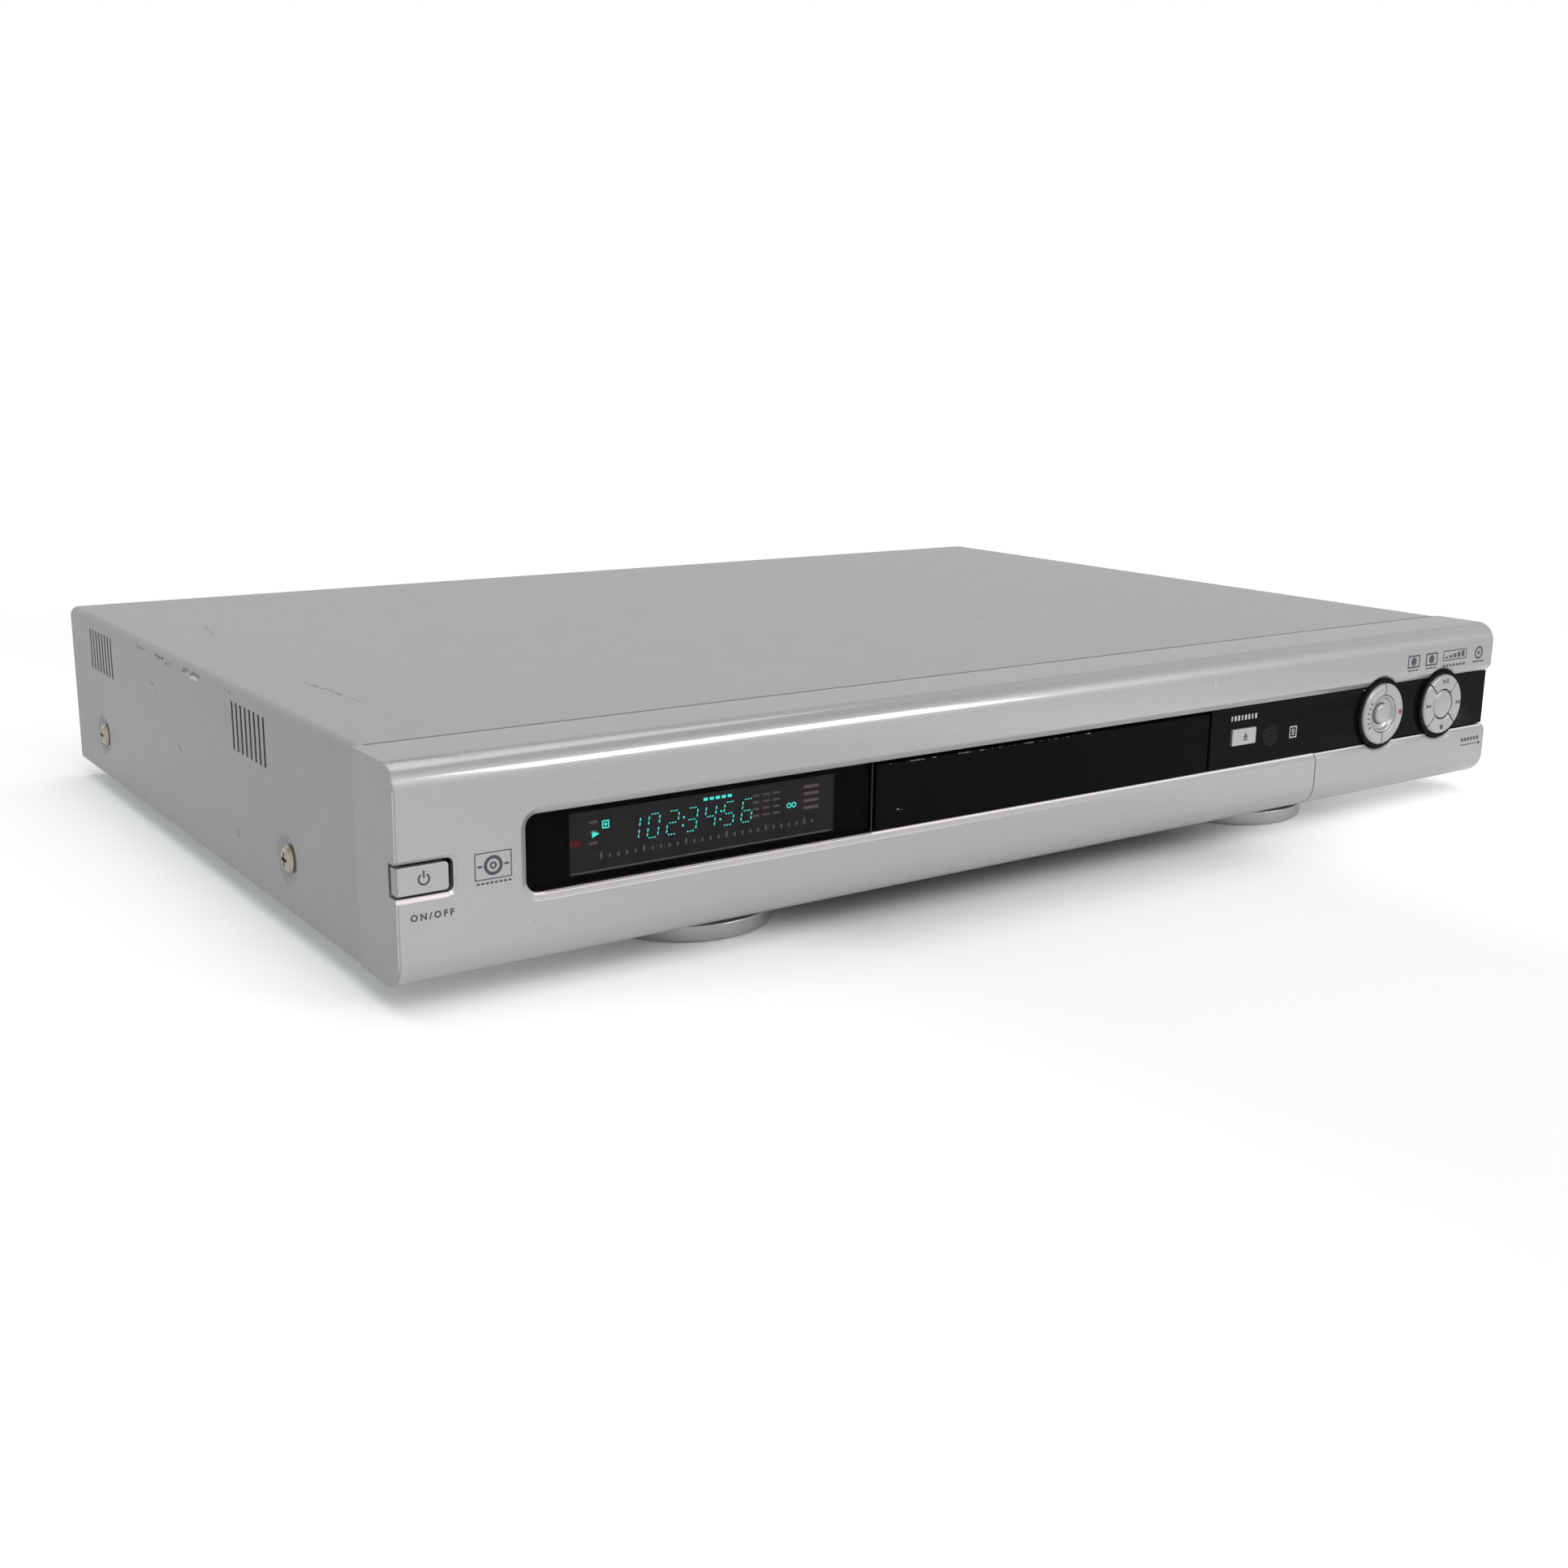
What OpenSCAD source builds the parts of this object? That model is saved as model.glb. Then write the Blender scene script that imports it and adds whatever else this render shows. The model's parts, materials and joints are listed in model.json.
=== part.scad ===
// Full-width disc recorder and player with a motor-driven tray.
// The case is laid out from its front face (y = 0) and its underside (z = 0),
// and in_place() then stands it on its feet, centred on its own outline.

/* [Case] */
// Overall width of the case
case_w = 430; // [426:1:440]
// Depth from the front face to the rear panel
case_d = 301; // [300:1:320]
// Height of the body above the seat of the feet
case_h = 56.5; // [56:0.5:60]
// Sheet metal of chassis, cover and rear panel
sheet_t = 1; // [0.8:0.1:1.2]
// Inner radius where the cover bends from top to side
cover_bend = 2; // [1:0.5:4]
// Air between the cover and the pieces inside its walls
cover_gap = 0.4; // [0.3:0.1:0.8]

/* [Front moulding] */
// Depth of the front moulding back to the cover seam
bezel_d = 24.5; // [24:0.5:26]
// Wall of the front moulding
bezel_t = 2.6; // [2.2:0.1:3]
// Radius along the top front edge
top_r = 6.5; // [5:0.5:7]
// Radius along the bottom front edge
bottom_r = 8; // [7:0.5:9]
// Lip that reaches under the cover
lip_l = 3; // [2:0.5:3]

/* [Window band] */
// Distance from the left end of the case to the window
win_left = 34.7; // [32:0.1:38]
// Lower edge of the window
win_z = 19.1; // [19:0.1:20]
// Height of the window
win_h = 20.4; // [20:0.1:21]
// Corner radius of the window
win_r = 3.5; // [2.5:0.5:4]
// Width of the bevel around the window
win_bevel = 1.9; // [1:0.1:2.2]
// Depth of the bevel around the window
win_bevel_d = 1.3; // [0.8:0.1:1.6]
// How far the dark panels sit behind the front face
band_recess = 1.5; // [1.2:0.1:1.8]
// Gap round the dark panels
band_gap = 0.3; // [0.2:0.1:0.5]

/* [Tray] */
// How far the tray door reaches past the tray at each side
door_over = 1.65; // [1.5:0.05:3]
// Middle of the tray door, from the middle of the case
tray_x = -2.65; // [-5:0.05:5]
// Thickness of the tray door
door_t = 4; // [3:0.5:4]
// Gap at each end of the tray door
door_gap = 1.3; // [1:0.1:1.6]
// Width of the tray
tray_w = 133; // [132:0.5:134]
// Rear end of the closed tray
tray_back = 195; // [190:1:198]
// Radius of the large disc recess
disc_r = 60.5; // [60.5:0.1:61]
// Radius of the small disc recess
small_disc_r = 40.5; // [40.5:0.1:41]
// Travel of the tray
tray_travel = 138; // [130:1:140]
// Spindle centre behind the front face
spindle_y = 78; // [77:0.5:80]

/* [Dials and buttons] */
// Radius of each dial
dial_r = 10.86; // [10:0.02:11]
// Radius of the dark surround of each dial
dial_well_r = 12.3; // [12:0.1:12.6]
// Height of the dial centres
dial_z = 29.5; // [29:0.1:30]
// Left dial's centre from the right end of the case
dial_left_in = 62; // [60:0.5:64]
// Right dial's centre from the right end of the case
dial_right_in = 28; // [26:0.5:30]
// Gap round each button
key_gap = 0.3; // [0.2:0.05:0.4]
// Travel of the push buttons
key_travel = 0.6; // [0.4:0.1:0.6]
// Width of the open and close button
eject_w = 11.5; // [10:0.5:13]
// Height of the open and close button
eject_h = 5.6; // [5:0.1:6]
// Centre of the open and close button
eject_x = 82.2; // [80:0.1:86]
// Width of the power button's pocket
power_w = 15; // [13:0.5:16]
// Height of the power button's pocket
power_h = 8.5; // [8:0.1:9]

/* [Front flap] */
// Width of the flap from the right end of the case
flap_w = 96; // [94:0.5:98]
// Wall of the flap
flap_t = 2; // [1.8:0.1:2.2]
// Gap round the flap
flap_gap = 0.4; // [0.3:0.1:0.5]
// Hinge axis behind the front face
hinge_y = 7; // [6.8:0.1:7.2]
// Hinge axis above the underside
hinge_z = 3; // [3:0.1:3.2]
// Radius of the hinge pins
hinge_pin_r = 1.2; // [1.1:0.05:1.3]

/* [Feet] */
// Height of the feet
foot_h = 7; // [6:0.5:9]
// Radius of the feet
foot_r = 27; // [24:0.5:27]
// Foot of their silver wall above the table
foot_lift = 0.45; // [0.3:0.05:0.8]
// Distance of the feet from the middle
foot_x = 114.4; // [110:0.2:120]
// Front feet behind the front face
foot_front = 36; // [36:1:40]
// Rear feet in front of the rear panel
foot_rear = 40; // [36:1:50]
// Thickness of the rubber pads
pad_t = 1.4; // [1:0.1:2]

/* [Rear] */
// How far the aerial sockets stand out of the rear panel
socket_reach = 10; // [9:0.5:11]
// Outer radius of a phono socket
phono_r = 4.15; // [4.1:0.05:4.2]
// Distance between phono sockets
phono_pitch = 14; // [13:0.5:15]
// Side of the square fan
fan_w = 40; // [38:1:42]
// Number of fan blades
fan_blades = 7; // [5:1:9]

/* [Drive mechanism] */
// Module of the tray rack
rack_m = 1; // [0.9:0.05:1]
// Teeth of the tray pinion
pinion_n = 20; // [18:1:20]
// Module of the reduction gears
train_m = 0.8; // [0.7:0.05:0.8]
// Teeth of the large reduction gear
wheel_n = 40; // [36:1:40]
// Teeth of the small reduction gear
small_n = 12; // [12:1:14]
// Module of the pickup drive
sled_m = 0.6; // [0.5:0.05:0.6]
// Teeth of the pickup pinion
sled_pinion_n = 16; // [14:1:16]
// Teeth of the pickup reduction gear
sled_wheel_n = 24; // [22:1:24]
// Teeth of the pickup motor's pinion
sled_motor_n = 10; // [10:1:12]
// Travel of the pickup
sled_travel = 34; // [30:1:34]
// Running clearance of shafts in their bores
run_gap = 0.06; // [0.03:0.01:0.1]

/* [Hidden] */
$fn = 48;
eps = 0.01;

// Outline of the case and of its inside
xr = case_w / 2;
xl = -xr;
dial_stand = 1;
front_y = -(case_d + socket_reach - dial_stand) / 2;
cover_x = xr - cover_gap;
inner_x = cover_x - sheet_t;
rear_y = case_d - 2 * sheet_t - 0.1;
deck_z = case_h - sheet_t;
wall_y = bezel_d + lip_l + 0.5;

// Window band
win_x = xl + win_left;
win_top = win_z + win_h;
band_lo = win_z + band_gap;
band_hi = win_top - band_gap;
band_t = 2;
door_w = tray_w + 2 * door_over;
door_x = [tray_x - door_w / 2, tray_x + door_w / 2];
lens_x = [win_x + band_gap, door_x[0] - door_gap];
panel_x = [door_x[1] + door_gap, xr - band_gap];
flange_y = bezel_t + 0.3;
flange_t = 1.4;
flange_w = 1.6;
side_wrap = 5;

// Dials
dial_left_x = xr - dial_left_in;
dial_right_x = xr - dial_right_in;
dial_floor_y = 3.1;
dial_inner_r = 6.5;
dial_cap_r = 5.2;
select_r = 3.6;
stem_r = 1.4;
stem_ring = 8.4;
stem_end = dial_floor_y + flange_t + 0.5;
switch_front = stem_end + key_travel + 0.1;
key_board_y = switch_front + 3.4;
display_board_y = key_board_y + 4;
board_t = 1.6;
boss_r = 2.2;

// Power button
power_z = 27.85;
power_wrap = 4.4;
power_side_gap = 1.3;
power_face = 0.15;

// Flap
flap_x = xr - flap_w;
flap_clear = hinge_z + flap_gap;
shelf_z = 7;
shelf_t = 1.5;
socket_wall_y = 15;
socket_row_z = shelf_z + shelf_t + 4.9;

// Tray and drive, in heights above the underside
tray_z = 24;
tray_t = 7;
tray_top = tray_z + tray_t;
disc_floor = 28;
small_floor = 26.6;
slot_half = 21;
seat_z = 29;
frame_x = tray_w / 2 + 7.5;
frame_wall = 4;
frame_y = [wall_y + 2, 212];
frame_z = 8;
rail_z = tray_z - 0.3;
rack_z = [20.6, tray_z];
rack_x = -tray_w / 2 + 7;
drive_x = rack_x + rack_m * pinion_n / 2;
drive_y = 50;
train_d = train_m * (wheel_n + small_n) / 2;
train_a = -25;
wheel_x = drive_x + train_d * cos(train_a);
wheel_y = drive_y + train_d * sin(train_a);
pulley_r = 8;
motor_pulley_r = 3;
belt_r = 0.7;
belt_z = 12.8;
motor_x = -8;
motor_y = 45.5;
pivot_y = 165;
pivot_z = 14;
pivot_x = 34;
plate_z = 13;
plate_t = 2;
rod_x = 20;
rod_z = 19;
rod_r = 1.5;
rod_y0 = motor_y + 14.6;
rod_y1 = pivot_y - 3.4;
sled_y = 94;
sled_l = 30;
sled_rack_x = 24.8;
sled_gear_x = sled_rack_x + sled_m * sled_pinion_n / 2;
sled_gear_y = 120;
sled_train_d = sled_m * (sled_wheel_n + sled_motor_n) / 2;
sled_motor_a = 50;
sled_motor_x = sled_gear_x + sled_train_d * cos(sled_motor_a);
sled_motor_y = sled_gear_y + sled_train_d * sin(sled_motor_a);
bridge_z = 37;
puck_gap = 0.3;

// Boards, sockets and fan
board_z = 9;
side_gap = 20;
psu_x = [xl + 9, tray_x - frame_x - side_gap];
psu_y = [60, rear_y - 16];
main_x = [tray_x + frame_x + side_gap, xr - 9];
main_y = 60;
io_x = -35;
io_y = rear_y - 52;
socket_z = 22;
tuner_x = xr - 40;
fan_x = psu_x[1] + 30;
fan_z = case_h / 2;
fan_t = 10;
inlet_x = xl + 35;
inlet_z = 24;
screw_head_r = 4;
side_screw_z = 15;
side_screw_y = [77, case_d - 36];
dimple_d = 1.2;
slot_n = 8;
slot_pitch = 3.8;
slot_w = 1.5;
slot_z = [deck_z - 17.7, deck_z - 3.4];

silver = [0.68, 0.69, 0.71];
dark = [0.1, 0.1, 0.11];
metal = [0.75, 0.76, 0.77];
plastic = [0.2, 0.2, 0.21];
green = [0.1, 0.35, 0.2];
brass = [0.8, 0.68, 0.4];

// ---------- shapes ----------
module in_place() {
    translate([0, front_y, foot_h]) children();
}

module in_drive() {
    in_place() translate([tray_x, 0, 0]) children();
}

module block(x, y, z) {
    translate([x[0], y[0], z[0]])
        cube([x[1] - x[0], y[1] - y[0], z[1] - z[0]]);
}

// A 2D outline in y and z, carried along x
module along_x(x) {
    translate([x[0], 0, 0]) rotate([90, 0, 90])
        linear_extrude(x[1] - x[0]) children();
}

// A 2D outline in x and z, carried along y
module along_y(y) {
    translate([0, y[1], 0]) rotate([90, 0, 0])
        linear_extrude(y[1] - y[0]) children();
}

module round_rect(x, z, r) {
    translate([x[0] + r, z[0]]) square([x[1] - x[0] - 2 * r, z[1] - z[0]]);
    translate([x[0], z[0] + r]) square([x[1] - x[0], z[1] - z[0] - 2 * r]);
    for (cx = [x[0] + r, x[1] - r], cz = [z[0] + r, z[1] - r])
        translate([cx, cz]) circle(r);
}

module slab(x, y, z, r) {
    along_y(y) round_rect(x, z, r);
}

module rod_y(x, z, y, r) {
    translate([x, y[1], z]) rotate([90, 0, 0]) cylinder(h = y[1] - y[0], r = r);
}

module rod_x(y, z, x, r) {
    translate([x[0], y, z]) rotate([0, 90, 0]) cylinder(h = x[1] - x[0], r = r);
}

module rod_z(x, y, z, r) {
    translate([x, y, z[0]]) cylinder(h = z[1] - z[0], r = r);
}

// A cone along y, with radius ra at its front end and rb at its rear end
module cone_y(x, z, y, ra, rb) {
    translate([x, y[0], z]) rotate([-90, 0, 0])
        cylinder(h = y[1] - y[0], r1 = ra, r2 = rb);
}

// A round-cornered opening with a bevel c wide and d deep at the front
module bevelled_opening(x, z, r, c, d, depth) {
    over = 0.1;
    w = c * (1 + over / d);
    slab(x, [0, depth], z, r);
    along_x([x[0] + r, x[1] - r])
        polygon([[-over, z[0] - w], [d, z[0]], [d, z[1]], [-over, z[1] + w]]);
    translate([0, 0, z[0] + r]) linear_extrude(z[1] - z[0] - 2 * r)
        polygon([[x[0] - w, -over], [x[1] + w, -over], [x[1], d], [x[0], d]]);
    for (cx = [x[0] + r, x[1] - r], cz = [z[0] + r, z[1] - r])
        cone_y(cx, cz, [-over, d], r + w, r);
}

// The side outline of the front moulding, inset by e, back to depth d
module front_outline(e, d) {
    rt = top_r - e;
    rb = bottom_r - e;
    translate([e, e + rb]) square([d - e, case_h - 2 * e - rt - rb]);
    translate([e + rt, case_h - e - rt]) square([d - e - rt, rt]);
    translate([e + rb, e]) square([d - e - rb, rb]);
    translate([e + rt, case_h - e - rt]) circle(rt);
    translate([e + rb, e + rb]) circle(rb);
}

// Involute gear teeth, as half-angles of a tooth at radius r
function inv(a) = tan(a) * 180 / PI - a;
function half_tooth(n, m, r, slack) =
    90 / n * (1 - slack) + inv(20) - inv(acos(min(1, m * n * cos(20) / 2 / r)));
function polar(r, a) = [r * cos(a), r * sin(a)];
function gear_outline(n, m, slack) =
    let (rp = m * n / 2, rb = rp * cos(20), rr = rp - 1.25 * m,
         rf = max(rr, rb), rt = rp + 0.95 * m, rq = (rp + rt) / 2)
    [for (i = [0 : n - 1], s = [-1, 1], k = [0 : 3])
        let (j = s < 0 ? k : 3 - k, r = [rr, rp, rq, rt][j])
        polar(r, 360 * i / n + s * half_tooth(n, m, max(r, rf), slack))];

module gear(n, m, z, slack = 0.12) {
    translate([0, 0, z[0]]) linear_extrude(z[1] - z[0])
        polygon(gear_outline(n, m, slack));
}

// Rack teeth that point along +x, pitch line on x = 0, one tooth at y = 0
function rack_outline(lo, hi, m, back, slack) =
    let (p = PI * m, w = p / 4 * (1 - slack), t = tan(20))
    concat([[-back, (lo - 0.5) * p]],
        [for (i = [lo : hi], q = [[-1.25, -1], [0.95, -1], [0.95, 1], [-1.25, 1]])
            [q[0] * m, i * p + q[1] * (w - q[0] * m * t)]],
        [[-back, (hi + 0.5) * p]]);

module rack(lo, hi, m, back, z, slack = 0.12) {
    translate([0, 0, z[0]]) linear_extrude(z[1] - z[0])
        polygon(rack_outline(lo, hi, m, back, slack));
}

// A finned extrusion: base plate with n fins along y
module fins(x, y, z, base, n, t) {
    block(x, y, [z[0], z[0] + base]);
    for (i = [0 : n - 1])
        block([x[0] + i * (x[1] - x[0] - t) / (n - 1),
               x[0] + i * (x[1] - x[0] - t) / (n - 1) + t],
              y, [z[0] + base - eps, z[1]]);
}

module board(x, y) {
    block(x, y, [board_z, board_z + board_t]);
}

// ---------- case ----------
module vent_slots(y) {
    for (i = [0 : slot_n - 1])
        translate([-inner_x - 5, y + i * slot_pitch, slot_z[0]])
            cube([2 * inner_x + 10, slot_w, slot_z[1] - slot_z[0]]);
}

module cover_outline(e) {
    r = cover_bend + sheet_t - e;
    x = cover_x - e;
    h = case_h - e;
    translate([-x, -eps]) square([2 * x, h - r + eps]);
    translate([-x + r, 0]) square([2 * (x - r), h]);
    for (s = [-1, 1]) translate([s * (x - r), h - r]) circle(r);
}

module top_cover() {
    y = [bezel_d + 0.3, case_d];
    color(silver) in_place() difference() {
        union() {
            difference() {
                along_y(y) difference() {
                    cover_outline(0);
                    cover_outline(sheet_t);
                }
                block([-xr, xr], [0, case_d + 1], [-1, 0.3]);
            }
            for (s = [-1, 1], sy = side_screw_y)
                rod_x(sy, side_screw_z,
                      s > 0 ? [inner_x - dimple_d, inner_x + 0.1]
                            : [-inner_x - 0.1, -inner_x + dimple_d], 7.6);
            // turned-in rear edge
            along_y([case_d - sheet_t, case_d]) difference() {
                intersection() {
                    cover_outline(sheet_t / 2);
                    translate([-xr, 0.3]) square([case_w, case_h]);
                }
                translate([-inner_x + 4, -1]) square([2 * inner_x - 8, deck_z - 3]);
            }
        }
        for (s = [-1, 1], sy = side_screw_y) {
            translate([s * (cover_x + eps), sy, side_screw_z])
                rotate([0, -s * 90, 0])
                    cylinder(h = dimple_d + eps, r1 = 7.4, r2 = 5.2);
            rod_x(sy, side_screw_z,
                  s > 0 ? [inner_x - 5, cover_x + 1] : [-cover_x - 1, -inner_x + 5], 1.7);
        }
        vent_slots(90);
        vent_slots(case_d - 54.2);
    }
}

module chassis() {
    x = inner_x - cover_gap - dimple_d;
    stand = [[psu_x[0] + 6, psu_y[0] + 6], [psu_x[1] - 6, psu_y[0] + 6],
             [psu_x[0] + 6, psu_y[1] - 6], [psu_x[1] - 6, psu_y[1] - 6],
             [main_x[0] + 6, main_y + 6], [main_x[1] - 6, main_y + 6],
             [main_x[1] - 6, rear_y - 10], [io_x + 6, rear_y - 10]];
    color(metal) in_place() difference() {
        union() {
            block([-x, x], [bezel_d + 0.3, rear_y], [0, sheet_t]);
            for (s = [-1, 1])
                block(s > 0 ? [x - sheet_t, x] : [-x, -x + sheet_t],
                      [wall_y, rear_y], [0, 24]);
            block([-x, x], [wall_y, wall_y + sheet_t], [0, deck_z - 4]);
            for (p = stand) rod_z(p[0], p[1], [sheet_t - eps, board_z], 3);
            for (sx = [-1, 1], sy = frame_posts())
                rod_z(tray_x + sx * frame_post_x(), sy, [sheet_t - eps, frame_z], 3.5);
            // stiffening ribs pressed across the floor
            for (yy = [110, 190])
                block([psu_x[1] + 6, psu_x[1] + 9], [wall_y + 8, rear_y - 20],
                      [sheet_t - eps, sheet_t + 1.5]);
        }
        // tray and cable openings in the front wall
        block([tray_x - frame_x, tray_x + frame_x], [wall_y - 1, wall_y + 3], [8, deck_z]);
        slab([win_x + 4, lens_x[1] - 10], [wall_y - 1, wall_y + 3], [14, 44], 3);
        slab([panel_x[0] + 20, xr - 16], [wall_y - 1, wall_y + 3], [8, 44], 3);
        // floor ventilation under the power supply and main board
        for (i = [0 : 9]) {
            y = main_y + 60 + i * 8;
            block([psu_x[0] + 20, psu_x[0] + 50], [y, y + 3], [-1, sheet_t + 1]);
            block([main_x[0] + 30, main_x[0] + 60], [y, y + 3], [-1, sheet_t + 1]);
        }
        for (s = [-1, 1], sy = side_screw_y)
            rod_x(sy, side_screw_z, s > 0 ? [x - 2, x + 2] : [-x - 2, -x + 2], 1.7);
    }
}

function frame_post_x() = frame_x - 10;
function frame_posts() = [frame_y[0] + 8, frame_y[1] - 8];

module rear_panel() {
    y = [rear_y, rear_y + sheet_t];
    color(metal) in_place() difference() {
        slab([-inner_x + 0.3, inner_x - 0.3], y, [0, deck_z - 0.4], cover_bend);
        // fan grille: two rings of slots
        for (ring = [[17, 10.5], [9, 4]])
            difference() {
                rod_y(fan_x, fan_z, [y[0] - 1, y[1] + 1], ring[0]);
                rod_y(fan_x, fan_z, [y[0] - 2, y[1] + 2], ring[1]);
                for (a = [0 : 60 : 179])
                    translate([fan_x, 0, fan_z]) rotate([0, a, 0])
                        block([-20, 20], [y[0] - 2, y[1] + 2], [-1.5, 1.5]);
            }
        slab([inlet_x - 12.2, inlet_x + 12.2], [y[0] - 1, y[1] + 1],
             [inlet_z - 8.2, inlet_z + 8.2], 2);
        for (p = phono_places())
            rod_y(p[0], p[1], [y[0] - 1, y[1] + 1], phono_r + 0.9);
        rod_y(svideo_x(), socket_z + 12, [y[0] - 1, y[1] + 1], 6.6);
        slab([digital_x() - 6.6, digital_x() + 6.6], [y[0] - 1, y[1] + 1],
             [socket_z - 7.6, socket_z + 5.6], 1);
        for (dz = [-8, 8])
            rod_y(tuner_x, 24 + dz, [y[0] - 1, y[1] + 1], 5.6);
        for (p = rear_screw_places())
            rod_y(p[0], p[1], [y[0] - 1, y[1] + 1], 1.7);
        // slots beside the fan
        for (i = [0 : 5])
            slab([-134 + i * 5, -131.6 + i * 5], [y[0] - 1, y[1] + 1], [14, 44], 1.1);
    }
}

function svideo_x() = 26;
function digital_x() = 2;
function phono_places() = concat(
    [for (i = [0 : 5], k = [0, 1]) [48 + i * phono_pitch, socket_z + k * phono_pitch]],
    [[digital_x(), socket_z + phono_pitch]]);
function rear_screw_places() = [
    [-inner_x + 8, 6], [inner_x - 8, 6], [-inner_x + 8, deck_z - 8],
    [inner_x - 8, deck_z - 8], [14, deck_z - 8], [-24, socket_z]];

module front_bezel() {
    color(silver) in_place() {
        difference() {
            union() {
                difference() {
                    along_x([xl, xr]) front_outline(0, bezel_d);
                    along_x([xl + bezel_t, xr - bezel_t])
                        front_outline(bezel_t, bezel_d + 1);
                }
                cover_lip();
                flap_chamber();
                for (p = key_board_bosses())
                    rod_y(p[0], p[1], [bezel_t - 0.1, key_board_y], boss_r);
                for (p = display_board_bosses())
                    rod_y(p[0], p[1], [bezel_t - 0.1, display_board_y], boss_r);
            }
            bevelled_opening([win_x, xr + 6], [win_z, win_top], win_r,
                             win_bevel, win_bevel_d, bezel_t + 1);
            block([xr - bezel_t - eps, xr + 1], [-1, side_wrap], [win_z, win_top]);
            for (x = [dial_left_x, dial_right_x]) {
                rod_y(x, dial_z, [-1, bezel_t + 1], dial_well_r + band_gap);
                cone_y(x, dial_z, [-0.1, 1], dial_well_r + 1.7, dial_well_r + band_gap);
            }
            bevelled_opening([xl - 6, xl + power_w],
                             [power_z - power_h / 2, power_z + power_h / 2],
                             1.6, 1, 0.7, bezel_t + 1);
            block([xl - 1, xl + bezel_t + eps], [-1, power_wrap],
                  [power_z - power_h / 2, power_z + power_h / 2]);
            // room for the flap and its swing
            block([flap_x - flap_gap, xr + 1], [-1, hinge_y], [-1, win_z + 1]);
            rod_x(hinge_y, hinge_z, [flap_x - flap_gap, xr + 1], flap_clear);
            block([flap_x - flap_gap, xr + 1], [hinge_y - 1, hinge_y + flap_clear],
                  [-1, hinge_z]);
            rod_x(hinge_y, hinge_z, [flap_x - 5, flap_x + 1], hinge_pin_r + run_gap);
        }
        flap_clip();
    }
}

// Bosses behind the front that carry the boards
function key_board_bosses() = concat(
    [for (x = [panel_x[0] + 12, flap_x + 2, xr - 12]) [x, win_top + 5]],
    [for (s = [-1, 1]) [xl + 22, power_z + s * 10.5]]);
function display_board_bosses() =
    [for (x = [lens_x[0] + 6, lens_x[1] - 8], z = [win_z - 4.5, win_top + 5]) [x, z]];

module cover_lip() {
    e = sheet_t + 2 * cover_gap;
    difference() {
        along_x([xl + e, xr - e]) intersection() {
            front_outline(e, bezel_d + lip_l);
            translate([bezel_d - 3, 0]) square([lip_l + 3, case_h]);
        }
        along_x([xl + bezel_t, xr - bezel_t])
            front_outline(bezel_t, bezel_d + lip_l + 1);
    }
}

// The left wall and shelf of the socket recess behind the flap
module flap_chamber() {
    wall = 6;
    back = socket_wall_y + 3;
    difference() {
        block([flap_x - flap_gap - wall, flap_x - flap_gap], [1, back], [1, win_z - 0.4]);
        block([flap_x - 20, flap_x], [-1, bezel_t], [-1, 30]);
        difference() {
            block([flap_x - 20, flap_x], [-1, bottom_r], [-1, bottom_r]);
            rod_x(bottom_r, bottom_r, [flap_x - 21, flap_x + 1], bottom_r - 1);
        }
    }
    block([flap_x - flap_gap - eps, xr - bezel_t + eps], [hinge_y + 1.5, back],
          [shelf_z, shelf_z + shelf_t]);
}

// The clip that hangs from the shelf over the right hinge pin
module flap_clip() {
    x = [xr - 15, xr - 11];
    difference() {
        union() {
            rod_x(hinge_y, hinge_z, x, hinge_pin_r * 2);
            block(x, [hinge_y - 1.2, hinge_y + 2.4], [hinge_z, shelf_z + 1]);
        }
        rod_x(hinge_y, hinge_z, [x[0] - 1, x[1] + 1], hinge_pin_r + run_gap);
        block([x[0] - 1, x[1] + 1], [0, 20], [-1, hinge_z + 0.3]);
    }
}

module front_flap() {
    knuckle = 4;
    color(silver) in_place() {
        difference() {
            union() {
                intersection() {
                    difference() {
                        along_x([flap_x, xr]) front_outline(0, bezel_d);
                        along_x([flap_x + flap_t, xr - flap_t])
                            front_outline(flap_t, bezel_d);
                    }
                    block([flap_x - 1, xr + 1], [-1, hinge_y], [-1, win_z - flap_gap / 2]);
                }
                for (x = [[flap_x, flap_x + knuckle], [xr - knuckle, xr]])
                    rod_x(hinge_y, hinge_z, x, hinge_z);
            }
            for (x = [dial_left_x, dial_right_x]) {
                rod_y(x, dial_z, [-1, 8], dial_well_r + band_gap);
                cone_y(x, dial_z, [-0.1, 1], dial_well_r + 1.7, dial_well_r + band_gap);
            }
            // the window's lower bevel runs on across the flap
            along_x([flap_x - 1, xr + 1]) polygon([
                [-1, win_z - win_bevel * (1 + 1 / win_bevel_d)],
                [win_bevel_d, win_z], [-1, win_z + 2]]);
        }
        rod_x(hinge_y, hinge_z, [flap_x - 4.6, flap_x + knuckle], hinge_pin_r);
        rod_x(hinge_y, hinge_z, [xr - 15.4, xr - knuckle + 1], hinge_pin_r);
    }
}

// ---------- window band ----------
module display_lens() {
    y = [band_recess, band_recess + band_t];
    color(dark) in_place() {
        slab(lens_x, y, [band_lo, band_hi], win_r - band_gap);
        slab([lens_x[0] - flange_w, lens_x[1]], [flange_y, flange_y + flange_t],
             [win_z - flange_w, win_top + flange_w], 1);
        // raised rim along the lower and right edges
        block([lens_x[0] + win_r, lens_x[1]], [band_recess - 0.5, band_recess + eps],
              [band_lo, band_lo + 0.9]);
        block([lens_x[1] - 0.9, lens_x[1]], [band_recess - 0.5, band_recess + eps],
              [band_lo, band_hi - 1]);
    }
}

module dial_stem_holes(x, places) {
    for (p = places)
        rod_y(x + p[0], dial_z + p[1], [0, 9], stem_r + key_gap);
}

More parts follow.
